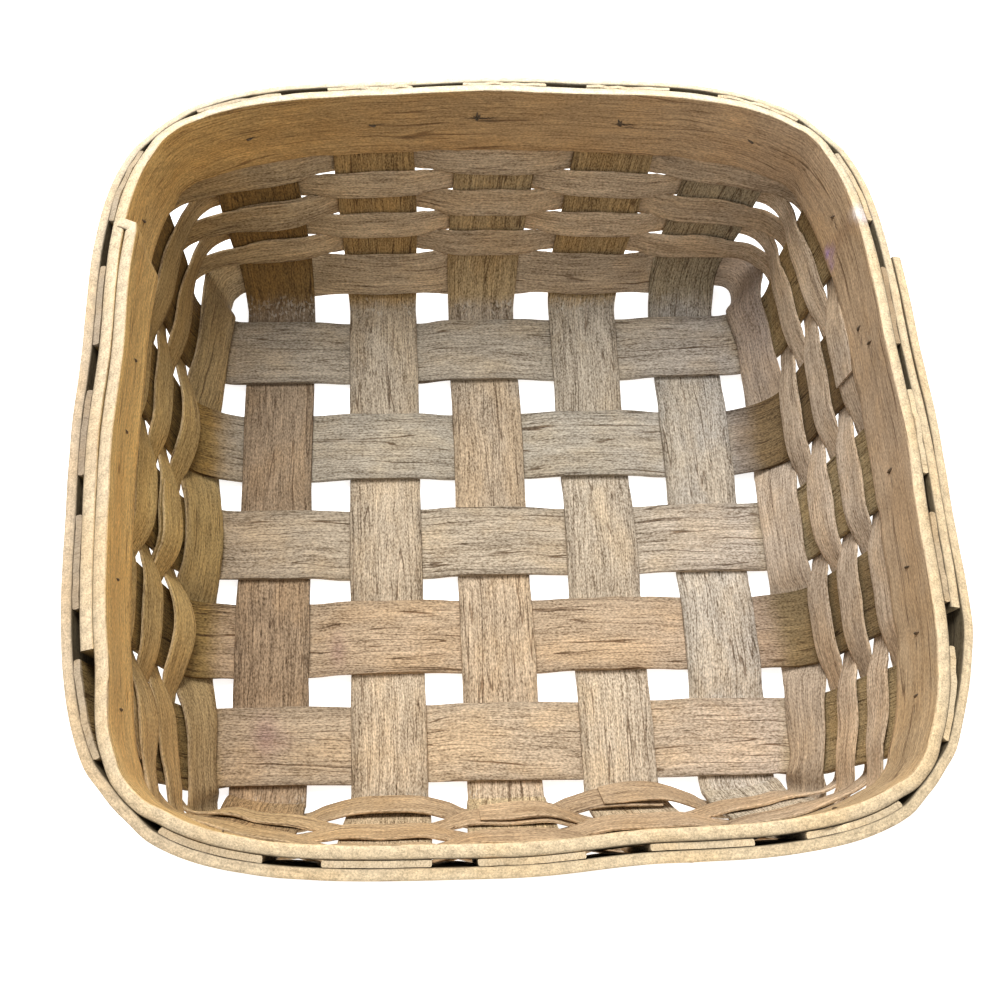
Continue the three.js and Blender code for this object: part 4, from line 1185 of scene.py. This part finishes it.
def band(b, seed):
    inner = b["sign"] < 0
    end = b["to"] + 60 * b["dir"]
    back = b["from"] + 60 * b["dir"]
    s_mid = TOP - BAND_H / 2
    u, d, _ = run_round(s_mid, b["from"], end, 2.0)
    first = (back - u) * b["dir"] > DRIFT
    lift = np.where(first, 0.0, standoff(b, u))
    near = BAND_IN + (LAP_STEP if inner else 4.05) * lift - pinch(u) * (1 - 0.75 * lift)
    near = near + 0.10 * wob(d, 45, seed + 1)
    # a loose end stands a little away
    near = near + (0.5 if inner else 0.15) * smooth(1 - (d[-1] - d) / 30)
    body = 4.5 if inner else 3.8
    thick = body * (1 + 0.035 * wob(d, 60, seed + 2) + 0.02 * wob(d, 9, seed + 3))
    c = TALL
    # thinner towards the lower edge
    taper = smooth((1 - c) / 1.6)[None]
    thick = thick[:, None] * (1 - (THINNED if inner else 0.20) * taper)
    s_top = TOP + 0.30 * wob(d, 48, seed + 4) + 0.10 * wob(d, 7, seed + 5)
    s_low = S_LOW + 0.45 * wob(d, 60, seed + 6) + 0.12 * wob(d, 8, seed + 7)
    s_low = s_low + 0.9 * rise(u, 78.0)
    s = s_low[:, None] + (s_top - s_low)[:, None] * (c[None] + 1) / 2
    out = near[:, None] + thick / 2
    if inner:
        out = out - LAP_STEP * LAP_LESS * lift[:, None] * taper
    # between uprights the lower edge leans in towards the other band
    v = np.mod(u, 3)
    gap = np.where(v > 2, np.sin((np.clip(v, 2, 3) - 2) * math.pi), 0.0) * (1 - lift)
    gap = np.where(np.mod(u, 15) > 14, 0.35 * gap, gap)
    lean = 0.8 * gap[:, None] * (1 - c[None]) / 2
    ripple = np.stack([wob(d, 26, seed * 19 + j // 2) for j in range(len(c))], 1)
    U = np.repeat(u[:, None], len(c), 1)
    G = wall(U, s, b["sign"] * (out - lean) + 0.07 * ripple)
    N = look(OUT, U, s)
    half = np.full(len(u), BAND_H / 2)

    def tint(p, cc, hh, LL):
        if inner:
            face = around(
                p, rgb(170, 147, 121), rgb(178, 145, 101), rgb(221, 182, 113), rgb(196, 166, 119)
            )
        else:
            face = around(
                p, rgb(206, 184, 144), rgb(204, 184, 146), rgb(204, 180, 138), rgb(214, 190, 146)
            )
        slow = 1 + 0.06 * wob(LL, 90, seed + 20) + 0.04 * wob(LL, 25, seed + 21)
        face = face * slow[..., None]
        if inner:
            # greyer towards the right along the far side
            f = smooth((p[..., 1] - 90) / 40)[..., None] * np.clip(p[..., 0] / 110, -1, 1)[..., None]
            face = face * (1 + f * np.array([0.08, 0.12, 0.25]))
        top_c = around(p, CREAM, PALE, mix(CREAM, WEATHERED, 0.35), CREAM)
        if not inner:
            # the outer strip's edge is more weathered on the left
            top_c = around(p, CREAM, PALE, mix(CREAM, WEATHERED, 0.75), CREAM)
        top = smooth((cc - 0.95) / 0.045)[..., None]
        col = face * (1 - top) + top_c * top
        # painted shade in the seam beside the uprights
        hidden = np.clip(-b["sign"] * hh, 0, 1)
        col = col * (1 - 0.30 * hidden[..., None] * top)
        # the face against the uprights never gets any light
        inside = np.where(hidden > 0.9, smooth((1 - cc) / 0.02), 0.0)[..., None]
        col = col * (1 - 0.80 * inside)
        # an old brown run, a purple mark and a white fleck at the far right corner
        for ends, radius, strength, paint in (
            (((144.8, 104.9, 70.0), (133.6, 84.8, 98.0)), 3.4, 0.45, rgb(112, 78, 48)),
            (((140.6, 99.1, 70.0), (129.6, 79.3, 98.0)), 3.2, 0.45, rgb(116, 82, 52)),
            (((137.0, 93.7, 70.0), (126.2, 74.3, 98.0)), 3.0, 0.40, rgb(120, 86, 56)),
            (((134.1, 90.9, 70.0), (123.5, 71.6, 98.0)), 2.2, 0.95, rgb(146, 120, 178)),
            (((133.7, 85.1, 70.0), (123.1, 66.2, 98.0)), 2.0, 0.85, rgb(136, 110, 168)),
            (((149.5, 110.8, 70.0), (138.0, 90.3, 98.0)), 2.6, 0.95, rgb(240, 238, 244)),
            (((151.5, 107.9, 70.0), (139.9, 87.5, 98.0)), 2.4, 0.65, rgb(214, 208, 226)),
        ):
            w = drip(p, ends, radius)[..., None] * strength
            col = col * (1 - w) + paint * w
        return col

    ob = strip(
        ("inner" if inner else "outer") + "_rim_band_wood",
        G,
        c,
        (0.78, 0.30, -0.30, -0.78),
        thick,
        half,
        tint,
        seed=seed,
        hint=N,
    )
    cracks = []
    if inner:
        order = np.argsort(u)
        for name, place, share, angle, size in TACKS:
            at = np.interp(place if place > 42 or place < 32.2 else place - 60 * (place > 32.05), u[order], d[order])
            if place > 41.85:
                at = np.interp(place - 60, u[order], d[order])
            long = {"rim_tack_far_3": 0.0105, "rim_tack_far_4": 0.0065}.get(name, 0.0034)
            deep = 0.95 if long > 0.005 else 0.6
            cracks.append((float(at) / 1000, (1 - 2 * share) * BAND_H / 2000, long, deep))
            if long > 0.005:
                cracks.append((float(at) / 1000 + 0.002, (1 - 2 * share) * BAND_H / 2000 - 0.0012, long * 0.6, 0.7))
    mat = wood(
        ("inner" if inner else "outer") + "_band_wood",
        cracks=cracks,
        seed=seed,
        streak=0.32,
        fibre=0.62,
        speck=0.60,
        mottle=0.20,
        lines=0.75,
        line_pitch=150,
        line_run=5,
        line_levels=5,
        strokes=0.45,
        rough=0.68,
        bump=0.45,
        saw=0.30,
        scratch=0.28 if inner else 0.2,
        gloss=0.35,
    )
    ob.data.materials.append(mat)
    return ob, ("inner" if inner else "outer") + "_rim_band"


def tube(path, radii, squash, sides, side_hint):
    """Closed tapering tube: vertices and faces."""
    path = np.asarray(path, float)
    tang = np.gradient(path, axis=0)
    tang /= np.linalg.norm(tang, axis=1, keepdims=True)
    v, f = [], []
    for p, t, r in zip(path, tang, radii):
        a = np.cross(t, side_hint)
        a /= np.linalg.norm(a)
        b = np.cross(a, t)
        for k in range(sides):
            w = 2 * math.pi * k / sides
            v.append(p + a * math.cos(w) * r + b * math.sin(w) * r * squash)
    n = len(path)
    for i in range(n - 1):
        for k in range(sides):
            k2 = (k + 1) % sides
            f.append([i * sides + k, i * sides + k2, (i + 1) * sides + k2, (i + 1) * sides + k])
    f.append(list(range(sides))[::-1])
    f.append([(n - 1) * sides + k for k in range(sides)])
    return np.array(v), f


def tack(spec, number):
    name, u, share, angle, size = spec
    s = TOP - BAND_H * share
    n = look(OUT, u, s)
    n /= np.linalg.norm(n)
    t = look(ALONG, u, s)
    up = np.cross(n, t)
    up /= np.linalg.norm(up)
    t = np.cross(up, n)
    p0 = wall(u, s)
    pin = float(pinch(np.array(u)))
    taper = float(smooth((2 * share) / 1.6))
    thin = 1 - 0.20 * taper
    inner = BAND_IN + LAP_STEP * (1 - LAP_LESS * taper) * float(standoff(INNER, u)) + 4.5 * (1 - THINNED * taper) - pin
    outer = BAND_IN + 4.05 * float(standoff(OUTER, u)) + 3.8 * thin - pin
    rng = np.random.default_rng(500 + number)
    verts, faces = [], []

    def add(v, f):
        o = sum(len(x) for x in verts)
        verts.append(np.asarray(v))
        faces.extend([[o + i for i in q] for q in f])

    # head: a low dome hammered into the outer band
    prof = [(0.0, 0.62), (0.9, 0.55), (1.6, 0.36), (2.1, 0.10), (2.2, -0.12), (1.5, -0.3), (0.75, -0.45), (0.75, -3.0)]
    sides = 16
    v, f = [], []
    for r, h in prof:
        for k in range(sides):
            w = 2 * math.pi * k / sides
            rr = r * (1 + 0.05 * math.sin(3 * w + number) + 0.03 * rng.uniform(-1, 1)) if r > 1 else r
            if r == 0.0:
                rr = 0.02
            v.append(p0 + n * (outer + h) + (t * math.cos(w) + up * math.sin(w)) * rr)
    m = len(prof)
    for i in range(m - 1):
        for k in range(sides):
            k2 = (k + 1) % sides
            f.append([i * sides + k2, i * sides + k, (i + 1) * sides + k, (i + 1) * sides + k2])
    f.append(list(range(sides)))
    f.append([(m - 1) * sides + k for k in range(sides)][::-1])
    add(v, f)
    # the point, bent over on the inner face
    a = math.radians(angle)
    way = t * math.cos(a) + up * math.sin(a)
    if name in ("rim_tack_far_3", "rim_tack_far_4"):
        ways = [(way, 1.0), (t * math.cos(a + 0.5) + up * math.sin(a + 0.5), 0.72), (t * math.cos(a - 0.7) + up * math.sin(a - 0.7), 0.6)]
    else:
        ways = [(way, 1.0)]
    for w, scale in ways:
        z = size * scale
        path = [
            p0 - n * (inner - 2.2),
            p0 - n * (inner - 0.4),
            p0 - n * (inner + 0.25 * z) + w * 0.25 * z,
            p0 - n * (inner + 0.45 * z) + w * 0.9 * z,
            p0 - n * (inner + 0.40 * z) + w * 1.7 * z,
            p0 - n * (inner + 0.20 * z) + w * 2.5 * z,
            p0 - n * (inner - 0.15 * z) + w * 3.2 * z,
            p0 - n * (inner - 0.5) + w * 3.6 * z,
        ]
        radii = [0.65, 0.68, 0.66, 0.62, 0.56, 0.46, 0.32, 0.18]
        radii = [r * (0.75 + 0.25 * z) for r in radii]
        v, f = tube(path, radii, 0.75, 8, np.cross(w, n))
        add(v, f)
    V = np.concatenate(verts)
    me = bpy.data.meshes.new(name + "_iron")
    me.from_pydata(((V + SHIFT) / 1000).tolist(), [], faces)
    me.validate()
    me.update()
    me.shade_smooth()
    me.set_sharp_from_angle(angle=math.radians(50))
    import bmesh

    bm = bmesh.new()
    bm.from_mesh(me)
    bmesh.ops.recalc_face_normals(bm, faces=bm.faces)
    bm.to_mesh(me)
    bm.free()
    ob = bpy.data.objects.new(name + "_iron", me)
    scene.collection.objects.link(ob)
    ob.data.materials.append(IRONS[number % 3])
    return ob, name


IRONS = [iron("tack_iron_%d" % i, 3.7 * i + 1) for i in range(3)]

made = []
for k in range(5):
    made.append(long_splint("fb", k))
for k in range(5):
    made.append(long_splint("lr", k))
for r in range(6):
    made.append(weaver(r))
made.append(band(INNER, 80))
made.append(band(OUTER, 90))
for number, spec in enumerate(TACKS):
    made.append(tack(spec, number))
for ob, node in made:
    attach(ob, "root")
    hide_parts(node)

# ------------------------------------------------------------ floor and light
floor_me = bpy.data.meshes.new("floor")
grid = 24
xs = np.linspace(-3.0, 3.0, grid + 1)
vv = [(x, y, -0.0004) for y in xs for x in xs]
ff = [
    [j * (grid + 1) + i, j * (grid + 1) + i + 1, (j + 1) * (grid + 1) + i + 1, (j + 1) * (grid + 1) + i]
    for j in range(grid)
    for i in range(grid)
]
floor_me.from_pydata(vv, [], ff)
floor = bpy.data.objects.new("floor", floor_me)
scene.collection.objects.link(floor)
k = Nodes("floor_white")
coord = k.t.nodes.new("ShaderNodeTexCoord").outputs["Object"]
cloud = k.noise(coord, (3, 3, 3), 2.0, 0.5)
col = k.mix(k.ramp(cloud, 0.3, 0.7), (0.86, 0.86, 0.86, 1), (0.90, 0.90, 0.90, 1))
dif = k.t.nodes.new("ShaderNodeBsdfDiffuse")
k.put(dif.inputs["Color"], col)
emi = k.t.nodes.new("ShaderNodeEmission")
emi.inputs["Color"].default_value = (1, 1, 1, 1)
emi.inputs["Strength"].default_value = 0.72
addn = k.t.nodes.new("ShaderNodeAddShader")
k.t.links.new(dif.outputs[0], addn.inputs[0])
k.t.links.new(emi.outputs[0], addn.inputs[1])
k.t.links.new(addn.outputs[0], k.out.inputs["Surface"])
floor_me.materials.append(k.mat)

world = bpy.data.worlds.new("studio") if scene.world is None else scene.world
scene.world = world
world.use_nodes = True
bg = world.node_tree.nodes.get("Background") or world.node_tree.nodes.new("ShaderNodeBackground")
bg.inputs["Color"].default_value = (1.0, 0.995, 0.985, 1)
bg.inputs["Strength"].default_value = 0.50


def area(name, where, target, size, power, colour):
    lamp = bpy.data.lights.new(name, "AREA")
    lamp.shape = "DISK"
    lamp.size = size
    lamp.energy = power
    lamp.color = colour
    ob = bpy.data.objects.new(name, lamp)
    scene.collection.objects.link(ob)
    w = np.array(where, float)
    z = w - np.array(target, float)
    z /= np.linalg.norm(z)
    x = np.cross([0, 1, 0.001], z)
    x /= np.linalg.norm(x)
    y = np.cross(z, x)
    ob.matrix_world = Matrix(
        [[x[0], y[0], z[0], w[0]], [x[1], y[1], z[1], w[1]], [x[2], y[2], z[2], w[2]], [0, 0, 0, 1]]
    )
    return ob


area("key", (-0.22, 0.95, 1.35), (0, 0, 0.03), 1.0, 34.0, (0.97, 0.985, 1.0))
area("fill", (0.5, -0.9, 1.2), (0, 0, 0.03), 1.2, 3.0, (1.0, 0.99, 0.97))

# ------------------------------------------------------------------- camera
FOCAL = 1428.242  # pixels, for a picture 1000 wide


def turn(rx, ry, rz):
    cx, sx, cy, sy, cz, sz = (
        math.cos(rx), math.sin(rx), math.cos(ry), math.sin(ry), math.cos(rz), math.sin(rz)
    )
    X = np.array([[1, 0, 0], [0, cx, -sx], [0, sx, cx]])
    Y = np.array([[cy, 0, sy], [0, 1, 0], [-sy, 0, cy]])
    Z = np.array([[cz, -sz, 0], [sz, cz, 0], [0, 0, 1]])
    return Z @ Y @ X


R = turn(2.709, -0.078, -0.016)
t = np.array([-0.057, 0.343, 13.338]) * PITCH
where = (-R.T @ t + SHIFT) / 1000
basis = R.T @ np.diag([1.0, -1.0, -1.0])
cam_data = bpy.data.cameras.new("camera")
cam_data.sensor_fit = "HORIZONTAL"
cam_data.sensor_width = 36.0
cam_data.lens = FOCAL * 36.0 / 1000
cam_data.clip_start = 0.01
cam_data.clip_end = 50
cam = bpy.data.objects.new("camera", cam_data)
scene.collection.objects.link(cam)
M = np.eye(4)
M[:3, :3] = basis
M[:3, 3] = where
cam.matrix_world = Matrix(M.tolist())
scene.camera = cam

scene.view_settings.view_transform = "Standard"
scene.view_settings.look = "None"
scene.view_settings.exposure = 0.0
scene.view_settings.gamma = 1.0
